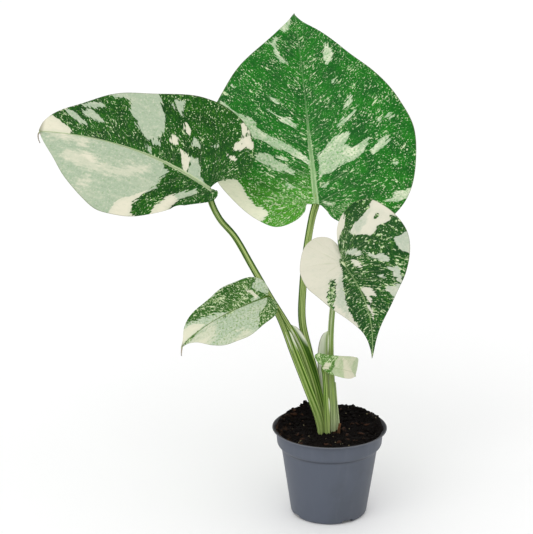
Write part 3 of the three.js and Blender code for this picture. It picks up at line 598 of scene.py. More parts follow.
def colour_setting(name, description, colour):
    return FloatVectorProperty(name=name, description=description, subtype="COLOR", default=colour)


def length_setting(name, description, default):
    return FloatProperty(
        name=name, description=description, subtype="DISTANCE", unit="LENGTH", default=default)


def strength_setting(name, description, default):
    return FloatProperty(name=name, description=description, default=default, min=0)


def count_setting(name, description, default, least=0):
    return IntProperty(name=name, description=description, default=default, min=least)


class PotSettings(PropertyGroup):
    segments: count_setting("Segments", "Steps around the pot", 192, 48)
    plastic: colour_setting("Plastic", "Colour of the pot's plastic", shade(80, 86, 98))
    # This colour also paints the highlight along the top edge of the lip
    wear_and_highlight: colour_setting("Worn edge and highlight", "Colour of the rubbed lip and its painted highlight", shade(122, 126, 134))


class SoilSettings(PropertyGroup):
    level: length_setting("Level", "Height of the soil in the pot", 0.089)
    peat: colour_setting("Peat", "Colour of the moist peat", shade(12, 8, 7))
    bark: colour_setting("Bark", "Colour of the bark chips", shade(62, 38, 24))
    perlite: colour_setting("Perlite", "Colour of the pale grains", shade(128, 118, 92))
    crumbs: count_setting("Crumbs", "Number of peat crumbs", 1100)
    chips: count_setting("Bark chips", "Number of bark chips", 34)
    grains: count_setting("Grains", "Number of perlite grains", 70)


class BladeSettings(PropertyGroup):
    thickness: length_setting("Thickness", "Thickness of a blade away from its midrib", 0.0006)
    quilting: length_setting("Quilting", "Depth of the grooves over the side veins", 0.00022)
    cream: colour_setting("Cream", "Colour of the cream parts", shade(216, 212, 190))
    pale: colour_setting("Pale", "Colour of the grey-green parts", shade(162, 178, 152))
    speck: colour_setting("Specks", "Colour of the fine specks", shade(206, 220, 176))
    roughness: FloatProperty(
        name="Roughness", description="Roughness of the waxy surface", default=0.42, min=0, max=1,
        subtype="FACTOR")


class StalkSettings(PropertyGroup):
    light: colour_setting("Light fibres", "Colour of the light stripes", shade(176, 194, 122))
    middle: colour_setting("Green", "Main colour of the stalks", shade(118, 150, 60))
    deep: colour_setting("Dark fibres", "Colour of the dark stripes", shade(46, 82, 8))
    wing: colour_setting("Sheath", "Colour of the thin sheath wings", shade(234, 237, 222))
    dry: colour_setting("Dry sheath", "Colour of the dry, papery sheath", shade(104, 70, 44))


class StageSettings(PropertyGroup):
    camera_place: FloatVectorProperty(
        name="Camera", description="Place of the camera", subtype="TRANSLATION", unit="LENGTH",
        default=(-0.066, -1.582, 0.717))
    camera_tilt: FloatProperty(
        name="Tilt", description="Angle of the view below level", subtype="ANGLE",
        default=math.radians(15.84))
    focal_length: FloatProperty(
        name="Focal length", description="Focal length on a 36 mm sensor", default=108.9, min=10)
    floor: colour_setting("Floor", "Colour of the floor", (0.94, 0.94, 0.94))
    key: strength_setting("Key light", "Strength of the main light", 0.9)
    fill: strength_setting("Fill light", "Strength of the fill light", 0.2)
    ambient: strength_setting("Ambient", "Strength of the light from all around", 0.9)


# Shader writing


def binary(operation, reflected=False):
    """A method that works on its own number and another one with a Math node."""
    def method(self, other):
        first, second = (other, self) if reflected else (self, other)
        return self.paint.maths(operation, first, second)
    return method


class Number:
    """A value that varies over a surface. Arithmetic on it adds Math nodes."""

    def __init__(self, paint, socket):
        self.paint = paint
        self.socket = socket

    __add__, __radd__ = binary("ADD"), binary("ADD", True)
    __sub__, __rsub__ = binary("SUBTRACT"), binary("SUBTRACT", True)
    __mul__, __rmul__ = binary("MULTIPLY"), binary("MULTIPLY", True)
    __truediv__ = binary("DIVIDE")
    __pow__ = binary("POWER")
    least = binary("MINIMUM")
    most = binary("MAXIMUM")

    def __abs__(self):
        return self.paint.maths("ABSOLUTE", self)

    def __round__(self):
        return self.paint.maths("ROUND", self)

    def step(self, low, high):
        """Rises smoothly from 0 at low to 1 at high."""
        node = self.paint.node(
            "ShaderNodeMapRange", {"interpolation_type": "SMOOTHSTEP"},
            {"Value": self, "From Min": low, "From Max": high})
        return Number(self.paint, node.outputs["Result"])


class Paint:
    """A material under construction, with its principled shader as surface."""

    def __init__(self, name, roughness, gloss=0.3):
        self.material = bpy.data.materials.new(name)
        self.material.use_nodes = True
        self.tree = self.material.node_tree
        self.tree.nodes.clear()
        self.surface = self.node(
            "ShaderNodeBsdfPrincipled", {}, {"Roughness": roughness, "Specular IOR Level": gloss})
        self.node("ShaderNodeOutputMaterial", {}, {"Surface": self.surface.outputs[0]})

    def node(self, kind, settings, sockets):
        """Adds a node of a kind, sets its own settings first and then feeds its sockets."""
        node = self.tree.nodes.new(kind)
        for name, value in settings.items():
            setattr(node, name, value)
        for key, value in sockets.items():
            self.feed(node.inputs[key], value)
        return node

    def feed(self, socket, value):
        if isinstance(value, Number):
            value = value.socket
        if isinstance(value, bpy.types.NodeSocket):
            self.tree.links.new(value, socket)
        elif socket.type == "RGBA":
            socket.default_value = (*value[:3], 1)
        else:
            socket.default_value = value

    def maths(self, operation, first, second=0.0):
        node = self.node("ShaderNodeMath", {"operation": operation}, {0: first, 1: second})
        return Number(self, node.outputs[0])

    def attribute(self, name):
        """The number that the mesh holds under a name."""
        node = self.node("ShaderNodeAttribute", {"attribute_name": name}, {})
        return Number(self, node.outputs["Fac"])

    def vector(self, name):
        """The vector that the mesh holds under a name."""
        return self.node("ShaderNodeAttribute", {"attribute_name": name}, {}).outputs["Vector"]

    def place(self):
        """The place of a point on the object, in metres."""
        return self.node("ShaderNodeTexCoord", {}, {}).outputs["Object"]

    def parts(self, vector):
        node = self.node("ShaderNodeSeparateXYZ", {}, {0: vector})
        return [Number(self, output) for output in node.outputs]

    def scaled(self, vector, factors):
        node = self.node("ShaderNodeVectorMath", {"operation": "MULTIPLY"}, {0: vector, 1: factors})
        return node.outputs[0]

    def noise(self, vector, scale=1.0, detail=2.0, roughness=0.5):
        """Noise over a vector. The scale is one factor, or three for the vector's parts."""
        if isinstance(scale, tuple):
            vector, scale = self.scaled(vector, scale), 1.0
        node = self.node(
            "ShaderNodeTexNoise", {},
            {"Vector": vector, "Scale": scale, "Detail": detail, "Roughness": roughness})
        return Number(self, node.outputs[0])

    def dots(self, vector, share, size):
        """Round dots in a share of the cells of a vector. size is the largest radius in cells."""
        node = self.node(
            "ShaderNodeTexVoronoi", {"feature": "F1"}, {"Vector": vector, "Scale": 1.0})
        distance = Number(self, node.outputs["Distance"])
        lot = self.parts(node.outputs["Color"])[0]
        radius = (lot - (1 - share)) * (size / share)
        return (radius - distance).step(0, 0.12)

    def mix(self, factor, first, second):
        node = self.node("ShaderNodeMix", {"data_type": "RGBA"}, {0: factor, 6: first, 7: second})
        return node.outputs[2]

    def bump(self, height, distance, strength=1.0):
        node = self.node(
            "ShaderNodeBump", {}, {"Height": height, "Distance": distance, "Strength": strength})
        self.feed(self.surface.inputs["Normal"], node.outputs[0])

    def colour(self, value):
        self.feed(self.surface.inputs["Base Color"], value)

    def rough(self, value):
        self.feed(self.surface.inputs["Roughness"], value)


def dimmed(colour, factor):
    return tuple(factor * part for part in colour)


def tinted(colour, tint):
    return tuple(a * b for a, b in zip(colour, tint))


def blend(first, second, share):
    """The colour a share of the way from the first to the second."""
    return tuple(a + share * (b - a) for a, b in zip(first, second))


# Curves


def curve_points(corners, places):
    """Points on a centripetal curve through the corners, at places that run from 0 to 1."""
    corners = np.asarray(corners, float)
    knots = np.vstack([2 * corners[0] - corners[1], corners, 2 * corners[-1] - corners[-2]])
    spans = np.linalg.norm(np.diff(knots, axis=0), axis=1) ** 0.5
    scaled = np.asarray(places, float) * (len(corners) - 1)
    index = np.minimum(scaled.astype(int), len(corners) - 2)
    share = (scaled - index)[:, None]
    before, start, end, after = (knots[index + i] for i in range(4))
    first, second, third = (spans[index + i][:, None] for i in range(3))
    leave = (start - before) / first - (end - before) / (first + second) + (end - start) / second
    arrive = (end - start) / second - (after - start) / (second + third) + (after - end) / third
    leave, arrive = leave * second, arrive * second
    square = 3 * (end - start) - 2 * leave - arrive
    cube = 2 * (start - end) + leave + arrive
    return start + leave * share + square * share ** 2 + cube * share ** 3


def even_places(corners, shares, end=1):
    """The places that lie at the given shares of a curve's length, as far as its place at end."""
    places = np.linspace(0, end, CURVE_SAMPLES)
    steps = np.linalg.norm(np.diff(curve_points(corners, places), axis=0), axis=1)
    lengths = np.concatenate([[0], np.cumsum(steps)])
    return np.interp(np.asarray(shares) * lengths[-1], lengths, places)


def smooth_share(values, low, high):
    share = np.clip((values - low) / (high - low), 0, 1)
    return share * share * (3 - 2 * share)


# Meshes


def unit(vector):
    return vector / np.linalg.norm(vector, axis=-1, keepdims=True)


def dress(name, mesh, node_names, slot, material):
    """Makes the piece that stands for some of the part's nodes."""
    piece = bpy.data.objects.new(name, mesh)
    bpy.context.scene.collection.objects.link(piece)
    mesh.materials.append(material)
    mesh.shade_smooth()
    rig.ride(piece, BODY)
    if node_names:
        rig.replaces(piece, *node_names)
    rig.slot(piece, slot)
    return piece


def make_mesh(name, points, faces):
    mesh = bpy.data.meshes.new(name)
    mesh.from_pydata((np.asarray(points) * MM).tolist(), [], faces)
    mesh.update()
    return mesh


def bands(rings, around):
    """The faces between rings of points, where each ring has the same number of points."""
    return [
        (i * around + j, i * around + (j + 1) % around,
         (i + 1) * around + (j + 1) % around, (i + 1) * around + j)
        for i in range(rings) for j in range(around)]


def tube_faces(rings, around):
    """The faces of a tube with its two ends closed."""
    ends = [tuple(reversed(range(around))), tuple(range(rings * around, (rings + 1) * around))]
    return bands(rings, around) + ends


def circle(radius, height, segments):
    angles = (2 * math.pi * j / segments for j in range(segments))
    return [(radius * math.cos(angle), radius * math.sin(angle), height) for angle in angles]


def set_attribute(mesh, name, values):
    """Stores a number or a vector for each point of a mesh."""
    values = np.asarray(values, np.float32)
    kind, field = ("FLOAT", "value") if values.ndim == 1 else ("FLOAT_VECTOR", "vector")
    mesh.attributes.new(name, kind, "POINT").data.foreach_set(field, values.ravel())


# Blades


def turn_axes(leaf, shares):
    """The directions across, along and up from a blade at shares of its length."""
    pitch = np.radians(leaf["pitch"][0] * shares + leaf["pitch"][1] * shares ** 2)
    yaw = np.radians(leaf["yaw"][0] * shares + leaf["yaw"][1] * shares ** 2)
    none = np.zeros_like(shares)
    side = np.stack([np.cos(yaw), np.sin(yaw), none], -1)
    along = np.stack([-np.sin(yaw) * np.cos(pitch), np.cos(yaw) * np.cos(pitch), np.sin(pitch)], -1)
    up = np.stack([np.sin(yaw) * np.sin(pitch), -np.cos(yaw) * np.sin(pitch), np.cos(pitch)], -1)
    return side, along, up


def bend(leaf, x, y, hand, lift):
    """Points of a flat blade in its bent pose, in its own frame. hand is 1 right of the midrib."""
    share = y / leaf["length"]
    ahead = np.maximum(share, 0)
    side, along, up = turn_axes(leaf, ahead)
    step = FURTHEST_STATION / BEND_STEPS
    middles = (np.arange(BEND_STEPS) + 0.5) * step
    moves = turn_axes(leaf, middles)[1] * step * leaf["length"]
    path = np.vstack([np.zeros(3), np.cumsum(moves, axis=0)])
    stations = np.arange(BEND_STEPS + 1) * step
    centre = np.stack([np.interp(ahead, stations, path[:, axis]) for axis in range(3)], -1)
    is_lobe = (share < 0)[:, None]
    angle = np.where(is_lobe, np.radians(leaf["lobe"]) * share[:, None], 1)
    back = y[:, None] / angle
    behind = along * back * np.sin(angle) + up * back * (1 - np.cos(angle))
    centre = np.where(is_lobe, behind, centre)
    normal = np.where(is_lobe, up * np.cos(angle) - along * np.sin(angle), up)
    half = (hand > 0).astype(int)
    fold = np.radians(np.asarray(leaf["fold"], float))[half]
    curl = np.radians(np.asarray(leaf["curl"], float))[half] / CURL_LENGTH
    reach = fold + curl * hand * x
    out = hand * (np.sin(reach) - np.sin(fold)) / curl
    rise = (np.cos(fold) - np.cos(reach)) / curl
    return centre + side * out[:, None] + normal * (rise + lift)[:, None]


def blade_place(leaf):
    """The blade's own frame: its origin and its directions across, along and up."""
    along = unit(np.asarray(leaf["aim"], float))
    face = np.asarray(leaf["face"], float)
    up = unit(face - along * (face @ along))
    return np.asarray(leaf["base"], float), np.stack([np.cross(along, up), along, up])


def to_part(leaf, points):
    base, axes = blade_place(leaf)
    return base + points @ axes


def on_blade(leaf, along, lift):
    """The point of the part that lies along the midrib and a distance above it."""
    place = bend(leaf, np.zeros(1), np.array([along]), np.ones(1), np.array([lift]))
    return to_part(leaf, place)[0]


def vein_ends(leaf, samples):
    """Where each row of a half blade ends and starts, and how much it bends as a lobe."""
    length = leaf["right_margin"][-1][1]
    origins = samples[:, 1] - VEIN_SLOPE * np.abs(samples[:, 0])
    lobe_end = np.nonzero(origins < 0)[0][-1]
    lobes, along = leaf["cells"][0] * LOBE_ROWS, leaf["cells"][1] * ALONG_ROWS
    ends = [(samples[round(lobe_end * i / lobes)], 0, 1 - i / lobes) for i in range(lobes)]
    for i in range(along):
        origin = length * i / along
        slope = VEIN_SLOPE + VEIN_STEEPENING * origin / length
        passed = samples[lobe_end:, 1] - slope * np.abs(samples[lobe_end:, 0]) >= origin
        ends.append((samples[lobe_end + np.argmax(passed)], origin, 0))
    return ends + [(samples[-1], length, 0)]


def half_rows(leaf, side):
    """Rows of flat points of one half, from the midrib to the margin.

    A point has its place on the flat blade, its share of the way across, the origin of its side
    vein, its place along that vein and the hand of its half.
    """
    margin = leaf[f"{side}_margin"]
    length = margin[-1][1]
    hand = 1 if side == "right" else -1
    outline = [(0, 0), *leaf[f"{side}_notch"], *margin]
    notch_end = (len(outline) - len(margin)) / (len(outline) - 1)
    shares = np.append(np.linspace(0, 1, ACROSS_CELLS + 1)[:-1] ** ROW_CROWDING, LAST_SHARES)
    notch_edge = curve_points(outline, even_places(outline, shares, notch_end))
    notch_bend = notch_edge - np.outer(shares, margin[0])
    samples = curve_points(outline, np.linspace(notch_end, 1, MARGIN_SAMPLES))
    rows = []
    for end, origin, ease in vein_ends(leaf, samples):
        reach = math.hypot(end[0], end[1] - origin)
        sag = VEIN_BOW * shares * (1 - shares) * reach * (1 - ease)
        x = end[0] * shares + ease * notch_bend[:, 0]
        y = origin + (end[1] - origin) * shares + ease * notch_bend[:, 1] - sag
        vein = np.full_like(shares, origin - ease * length * LOBE_VEIN_DROP)
        along_vein = shares * reach * hand
        rows.append(np.stack([x, y, shares, vein, along_vein, np.full_like(x, hand)], -1))
    return np.array(rows)


def flat_blade(leaf):
    """Flat points and faces of both halves, which share the points of the midrib."""
    points, faces = [], []
    for side in ("right", "left"):
        rows = half_rows(leaf, side)
        start = sum(len(part) for part in points)
        count = rows.shape[1]
        points.append(rows.reshape(-1, 6))
        for i in range(len(rows) - 1):
            for j in range(count - 1):
                a = start + i * count + j
                corners = (a, a + 1, a + count + 1, a + count)
                faces.append(corners if side == "right" else corners[::-1])
    points = np.vstack(points)
    keys = np.round(points[:, :2], 3) + 0.0
    _, first, place = np.unique(keys, axis=0, return_index=True, return_inverse=True)
    place = place.ravel()
    kept = []
    for face in faces:
        corners = list(dict.fromkeys(int(place[corner]) for corner in face))
        if len(corners) > 2:
            kept.append(tuple(corners))
    return points[first], kept


def open_edges(faces):
    edges = {}
    for face in faces:
        for start, end in zip(face, face[1:] + face[:1]):
            if edges.pop((end, start), None) is None:
                edges[(start, end)] = True
    return list(edges)


def inside_distance(points, outline):
    """How far inside an outline each flat point lies, negative outside it."""
    corners = np.asarray(outline, float)
    following = np.roll(corners, -1, axis=0)
    edge = following - corners
    offset = points[:, None, :] - corners
    share = np.clip((offset * edge).sum(-1) / (edge ** 2).sum(-1), 0, 1)
    distance = np.linalg.norm(offset - share[..., None] * edge, axis=-1).min(1)
    above = (corners[:, 1] > points[:, 1:2]) != (following[:, 1] > points[:, 1:2])
    height = np.where(edge[:, 1] == 0, 1, edge[:, 1])
    crossing = corners[:, 0] + (points[:, 1:2] - corners[:, 1]) * edge[:, 0] / height
    inside = ((points[:, 0:1] < crossing) & above).sum(1) % 2 == 1
    return np.where(inside, distance, -distance)


def patch_field(points, outlines):
    field = np.full(len(points), FAR_OUTSIDE)
    for outline in outlines:
        field = np.maximum(field, inside_distance(points, outline))
    return field


def vein_relief(leaf, points):
    """The lift of the surface between the side veins, from -1 on a vein to 1 between two."""
    x, share, vein = points[:, 0], points[:, 2], points[:, 3]
    phase = vein / leaf["length"] * VEIN_COUNT
    away = np.abs(phase - np.round(phase)) * 2
    pillow = 1 - 2 * np.exp(-((away / 0.28) ** 2))
    fade = smooth_share(np.abs(x), 1.5, 8) * (1 - smooth_share(share, 0.6, 1))
    return pillow * fade * smooth_share(leaf["length"] - points[:, 1], 0, 30)


def roll_depth(leaf, points):
    """How far a point lies in the rolled margin of a lobe, in radii of the roll and from 0 to 2."""
    if "roll" not in leaf:
        return np.zeros(len(points))
    depth = np.clip(inside_distance(points[:, :2], leaf["roll"]) / ROLL_RADIUS, 0, 2)
    return np.where(points[:, 5] < 0, depth, 0)


def store_fields(mesh, leaf, points, rolled):
    """Stores what the paint needs, the same for the upper and the lower side."""
    x, y, share, vein, along_vein, hand = points.T
    level = np.zeros_like(x)
    own_half = np.where(hand > 0, np.maximum(x, HALF_INSET), np.minimum(x, -HALF_INSET))
    depths = {
        kind: patch_field(np.stack([own_half, y], -1), leaf[kind])
        for kind in ("green", "cream", "pale", "warm", "cool")}
    for kind in ("cream", "pale"):
        depths[kind] = np.minimum(depths[kind], -depths["green"])
    fields = {
        "flat": np.stack([x, y, level], -1),
        "vein": np.stack([vein, along_vein, level], -1),
        "across": share,
        "rolled": rolled,
        **{kind + "_depth": depth for kind, depth in depths.items()},
    }
    for name, values in fields.items():
        set_attribute(mesh, name, np.concatenate([values, values]))
    set_attribute(mesh, "upper", np.concatenate([np.ones(len(x)), level]))


def blade_mesh(name, leaf, settings):
    """A closed, bent blade with waves, quilting, a midrib below and a groove over it."""
    points, faces = flat_blade(leaf)
    x, y, share, hand = points[:, 0], points[:, 1], points[:, 2], points[:, 5]
    height, wavelength = leaf["wave"]
    ripple = height * share ** 2 * np.sin(2 * math.pi * y / wavelength + hand)
    relief = vein_relief(leaf, points) * settings.quilting / MM
    taper = np.maximum(1 - y / leaf["length"], MIDRIB_TIP_SHARE) * smooth_share(y, 0, MIDRIB_START)
    ridge = leaf["midrib"] * taper * np.exp(-((x / MIDRIB_WIDTH) ** 2))
    groove = GROOVE_SHARE * leaf["midrib"] * taper * np.exp(-((x / GROOVE_WIDTH) ** 2))
    half = settings.thickness / MM / 2 * (1 - MARGIN_THINNING * smooth_share(share, 0.6, 1))
    rolled = roll_depth(leaf, points)
    ripple = ripple + ROLL_RADIUS * np.sqrt(rolled * (2 - rolled))
    upper = bend(leaf, x, y, hand, ripple + relief + half - groove)
    lower = bend(leaf, x, y, hand, ripple + relief * UNDER_RELIEF - half - ridge)
    count = len(points)
    under = [tuple(corner + count for corner in face[::-1]) for face in faces]
    rim = [(start, start + count, end + count, end) for start, end in open_edges(faces)]
    mesh = make_mesh(name, to_part(leaf, np.vstack([upper, lower])), faces + under + rim)
    store_fields(mesh, leaf, points, rolled)
    return mesh


class BladePaint(Paint):
    """The paint of one blade: the fields and noises that its layers share, and the layers."""

    def __init__(self, name, leaf, settings):
        super().__init__(name, settings.roughness, 0.12)
        self.leaf = leaf
        self.settings = settings
        self.flat = self.vector("flat")
        self.vein = self.vector("vein")
        self.across = self.attribute("across")
        self.flat_x, self.flat_y, _ = self.parts(self.flat)
        self.from_middle = abs(self.flat_x)
        self.share_along = self.flat_y / leaf["length"]
        self.grains = self.scaled(self.flat, (0.6, 0.6, 1))
        self.drawn = self.scaled(self.vein, (0.55, 0.2, 1))

        left, right = leaf.get("lobe_weights", (1, 1))
        weight = left + self.flat_x.step(-4, 4) * (right - left)
        self.lobe = (1 - self.share_along.step(-0.05, 0.25)) * weight

        flow = self.vein if leaf["flow"] == "vein" else self.flat
        self.marble = self.noise(flow, (0.07, 0.03, 1), 3.0, 0.55).step(0.48, 0.66)
        self.cloud = self.noise(flow, (0.3, 0.1, 1), 4.0, 0.65)
        self.cells = self.noise(self.grains, 0.75, 3.0, 0.65)

        self.spacing = leaf["length"] / VEIN_COUNT
        phase = self.parts(self.vein)[0] / self.spacing
        self.from_vein = abs(phase - round(phase)) * self.spacing
        self.side_vein = (1 - self.from_vein.step(0.15, 0.7)) * (1 - self.across.step(0.3, 0.85))

    def greens(self):
        """Deep and fresh green in clouds and fine fibres, with painted shade in the grooves by the side veins."""
        deep, fresh, light = self.leaf["greens"]
        broad = self.noise(self.flat, (0.045, 0.045, 1)).step(0.3, 0.7)
        green = self.mix(broad * 0.7 + 0.12, deep, fresh)
        green = self.mix(self.lobe * 0.6, green, self.leaf["lobe_green"])
        fibre = self.noise(self.drawn, 0.8, 4.0, 0.72)
        mottle = self.noise(self.grains, 0.9, 3.0, 0.7)
        green = self.mix((fibre * 0.5 + mottle * 0.5).step(0.5, 0.64) * 0.6, green, light)
        green = self.mix((1 - (fibre * 0.6 + mottle * 0.4).step(0.36, 0.48)) * 0.6, green, deep)
        # Painted shade in the grooves beside the side veins
        near_vein = 1 - self.from_vein.step(0.3, 0.28 * self.spacing)
        painted_valley_shade = near_vein * (1 - self.across.step(0.5, 0.95)) * self.from_middle.step(2, 10)
        return self.mix(painted_valley_shade * 0.35, green, deep)

    def specked(self, green):
        """Fine dust, dashes and larger flecks over the green."""
        leaf = self.leaf
        near_rib = 1 - self.across.step(0.25, 0.8)
        crowd = (self.noise(self.flat, (0.05, 0.05, 1)) - 0.5) * 0.22
        crowd = crowd + self.attribute("green_depth").step(-2, 1) * 0.06
        crowd = crowd + self.lobe * leaf["lobe_specks"] + leaf["streaked"] * 0.03
        sparse = 0.66 - 0.06 * leaf["specks"]
        dust = self.noise(self.grains, 1.0, 1.5, 0.6) + crowd - near_rib * 0.02
        dust = dust - leaf["streaked"] * 0.06
        dashes = self.noise(self.drawn, 1.0, 2.0, 0.6) + crowd + near_rib * 0.02
        flecks = self.noise(self.vein, (0.3, 0.07, 1), 2.0, 0.6) + crowd
        specks = dust.step(sparse, sparse + 0.05)
        specks = specks.most(dashes.step(sparse + 0.02, sparse + 0.07))
        specks = specks.most(flecks.step(sparse + 0.05, sparse + 0.08))
        pallor = self.noise(self.flat, (0.35, 0.35, 1)).step(0.34, 0.56)
        speck = self.mix(pallor, leaf["greens"][2], self.settings.speck)
        return self.mix(specks * 0.9, green, speck)

    def pale_and_cream(self):
        """The marbled grey-green of the pale patches and the cream of the others."""
        leaf, cloud, cells = self.leaf, self.cloud, self.cells
        light = leaf["greens"][2]
        tones = (self.settings.cream, self.settings.pale)
        cream_tone, pale_tone = map(tinted, tones, leaf["tints"])
        soft_cream = blend(cream_tone, pale_tone, 0.4)
        pale = self.mix(self.marble * leaf["marbled"], pale_tone, soft_cream)
        pale = self.mix(cloud.step(0.5, 0.7) * 0.5, pale, soft_cream)
        pale = self.mix((1 - cloud.step(0.32, 0.48)) * 0.4, pale, dimmed(pale_tone, 0.76))
        pale = self.mix(cells.step(0.55, 0.68) * (0.4 + 0.3 * leaf["flecked"]), pale, cream_tone)
        low, high = (end + 0.08 * leaf["flecked"] for end in (0.3, 0.42))
        pale = self.mix((1 - cells.step(low, high)) * leaf["flecked"], pale, light)
        warm = (self.attribute("warm_depth") + (cloud - 0.5) * 26).step(-5, 4)
        pale = self.mix(warm * (0.55 + self.marble * 0.4), pale, cream_tone)

        cream = self.mix(cloud.step(0.45, 0.7) * 0.45, cream_tone, soft_cream)
        cream = self.mix((1 - self.attribute("cream_depth").step(0.5, 5)) * 0.45, cream, soft_cream)
        cream = self.mix(cells.step(0.62, 0.72) * 0.22, cream, light)
        cool = (self.attribute("cool_depth") + (cloud - 0.5) * 16).step(-2, 3)
        return pale, self.mix(cool * 0.85, cream, pale)

    def patched(self, green, pale, cream):
        """Green with its pale and cream patches, whose edges run out in fingers along the veins."""
        fingers = (self.noise(self.vein, (0.38, 0.06, 1), 2.0, 0.55) - 0.5) * 12
        islands = (self.noise(self.drawn, 0.9, 3.0, 0.65) - 0.5) * 8
        off_rib = self.from_middle.step(0.5, 5) * 0.8 + 0.2
        ragged = (fingers + islands) * off_rib * self.leaf["ragged"]
        rolled = self.attribute("rolled")
        unrolled = 1 - rolled.step(0.0, 0.12)
        pale_mask = (self.attribute("pale_depth") + ragged).step(-0.5, 0.5) * unrolled
        cream_mask = (self.attribute("cream_depth") + ragged * 0.8).step(-0.5, 0.5) * unrolled
        colour = self.mix(pale_mask, green, pale)
        colour = self.mix(cream_mask, colour, cream)
        # Painted shade: a dark line along the inner edge of the rolled margin
        painted_crease_shade = rolled.step(0.0, 0.1) * (1 - rolled.step(0.1, 0.6))
        return self.mix(painted_crease_shade * 0.55, colour, dimmed(self.leaf["greens"][0], 0.3))

    def veined(self, colour):
        """Side veins and streaks beside them, strongest near the midrib and the stalk."""
        low_half = 1 - self.share_along.step(0.15, 0.5) * 0.75
        veins = self.side_vein * (1 - self.from_middle.step(8, 50)) * self.cloud.step(0.35, 0.6)
        streaks = self.noise(self.vein, (0.8, 0.04, 1), 2.0, 0.6).step(0.58, 0.7) * 0.7
        streaks = streaks * (1 - self.from_middle.step(12, 55))
        shown = (veins * low_half).most(streaks * low_half)
        return self.mix(shown * self.leaf["veins"], colour, self.leaf["rib_tone"])

    def ribbed(self, colour):
        """The pale, lined midrib, which narrows and fades towards the tip."""
        base_width, tip_width, base_strength, tip_strength = self.leaf["rib"]
        rib_tone = self.leaf["rib_tone"]
        taper = 1 - self.share_along.step(0.1, 0.6)
        rough_side = (self.noise(self.drawn, 0.8) - 0.5) * 0.9
        from_rib = self.from_middle / (tip_width + taper * (base_width - tip_width)) + rough_side
        shown = (1 - from_rib.step(0.75, 1.2)) * (self.flat_y + 4).step(0, 3)
        shown = shown * (tip_strength + taper * (base_strength - tip_strength))
        lines = self.noise(self.flat, (1.2, 0.04, 1), 3.0).step(0.45, 0.58)
        core = blend(rib_tone, self.leaf["greens"][1], 0.5)
        rib = self.mix((1 - from_rib.step(0.25, 0.55)) * 0.8, rib_tone, core)
        return self.mix(shown, colour, self.mix(lines * 0.75, rib, core))

    def aged(self, colour):
        """A dark line along the margin and a dried tip."""
        colour = self.mix(self.across.step(0.987, 0.999) * 0.5, colour, MARGIN_LINE)
        dried = (self.flat_y - self.leaf["right_margin"][-1][1] + 6).step(0, 5)
        return self.mix(dried * 0.6, colour, DRIED_TIP)


def blade_paint(name, leaf, settings):
    """Green marbled with cream and grey-green patches, specks along the veins and a pale midrib."""
    paint = BladePaint(name, leaf, settings)
    colour = paint.patched(paint.specked(paint.greens()), *paint.pale_and_cream())
    colour = paint.aged(paint.ribbed(paint.veined(colour)))
    upper = paint.attribute("upper")
    under = paint.mix(0.42, colour, UNDERSIDE)
    paint.colour(paint.mix(upper, under, colour))
    paint.rough(settings.roughness - 0.05 + paint.cloud * 0.12 + (1 - upper) * 0.12)
    wrinkle = paint.noise(paint.vein, (0.5, 0.06, 1), 3.0)
    paint.bump(paint.cells * 0.3 + wrinkle * 0.9 - paint.side_vein * 0.5, 0.0004, 0.5)
    return paint.material


# Stalks and sheaths


def wing_growth(stalk, height):
    share = np.clip((height - STEM_TOP) / (stalk["sheath"][3] - STEM_TOP), 0, 1)
    swell = WING_BASE_SHARE + (1 - WING_BASE_SHARE) * share ** WING_SWELL
    return swell * math.sqrt(max(1 - share ** stalk.get("sheath_taper", SHEATH_TAPER), 0))


def stalk_section(stalk, radius, growth):
    """The outline across a stalk: distances towards the channel and aside, and marks.

    The marks say how pale and thin a point is, how near the edge of a wing, and whether it looks
    inwards.
    """
    wide, narrow, spread, _ = stalk["sheath"]
    section = []

    def add(degrees, out, aside, marks):
        angle = math.radians(degrees)
        section.append((out * math.cos(angle) - aside * math.sin(angle),
                        out * math.sin(angle) + aside * math.cos(angle), marks))

    def add_wing(degrees, width, thinness):
        length = width * growth
        mark = min(length / 3, 1)
        for turned, order in ((-1, WING_STATIONS), (1, WING_STATIONS[::-1])):
            inner = mark if turned * degrees < 0 else 0
            for share in order:
                aside = turned * (WING_ROOT + (WING_TIP - WING_ROOT) * share) / 2
                marks = (share * mark * thinness, share * mark, inner)
                add(degrees, radius + length * share, aside, marks)
            if turned < 0:
                add(degrees, radius + length + WING_TIP * 0.4, 0, (mark * thinness, mark, inner))

    for degrees in (-0.45 * spread, 0, 0.45 * spread):
        depth = CHANNEL_DEPTH * math.cos(math.radians(degrees) * 90 / spread)
        add(degrees, radius * (1 - depth), 0, (0, 0, min(wide * growth / 3, 1)))
    add_wing(spread, wide, stalk["membrane"][0])
    back = spread + WING_CLEARANCE
    for degrees in np.linspace(back, 360 - back, ROUND_POINTS):
        add(degrees, radius, 0, (0, 0, 0))
    add_wing(-spread, narrow, stalk["membrane"][1])
    return section


def seat_corners(stalk):
    """Where a stalk meets its blade and how it runs on under the midrib."""
    leaf = LEAVES[stalk["leaf"]]
    along, below = stalk["seat"]
    corners = []
    for ahead, depth_share, radius_share in SEAT_TAIL:
        depth = below
        if ahead:
            depth = max(below * depth_share, stalk["radius"][1] * radius_share + TAIL_CLEARANCE)
        corners.append(on_blade(leaf, along + ahead, -depth))
    return corners


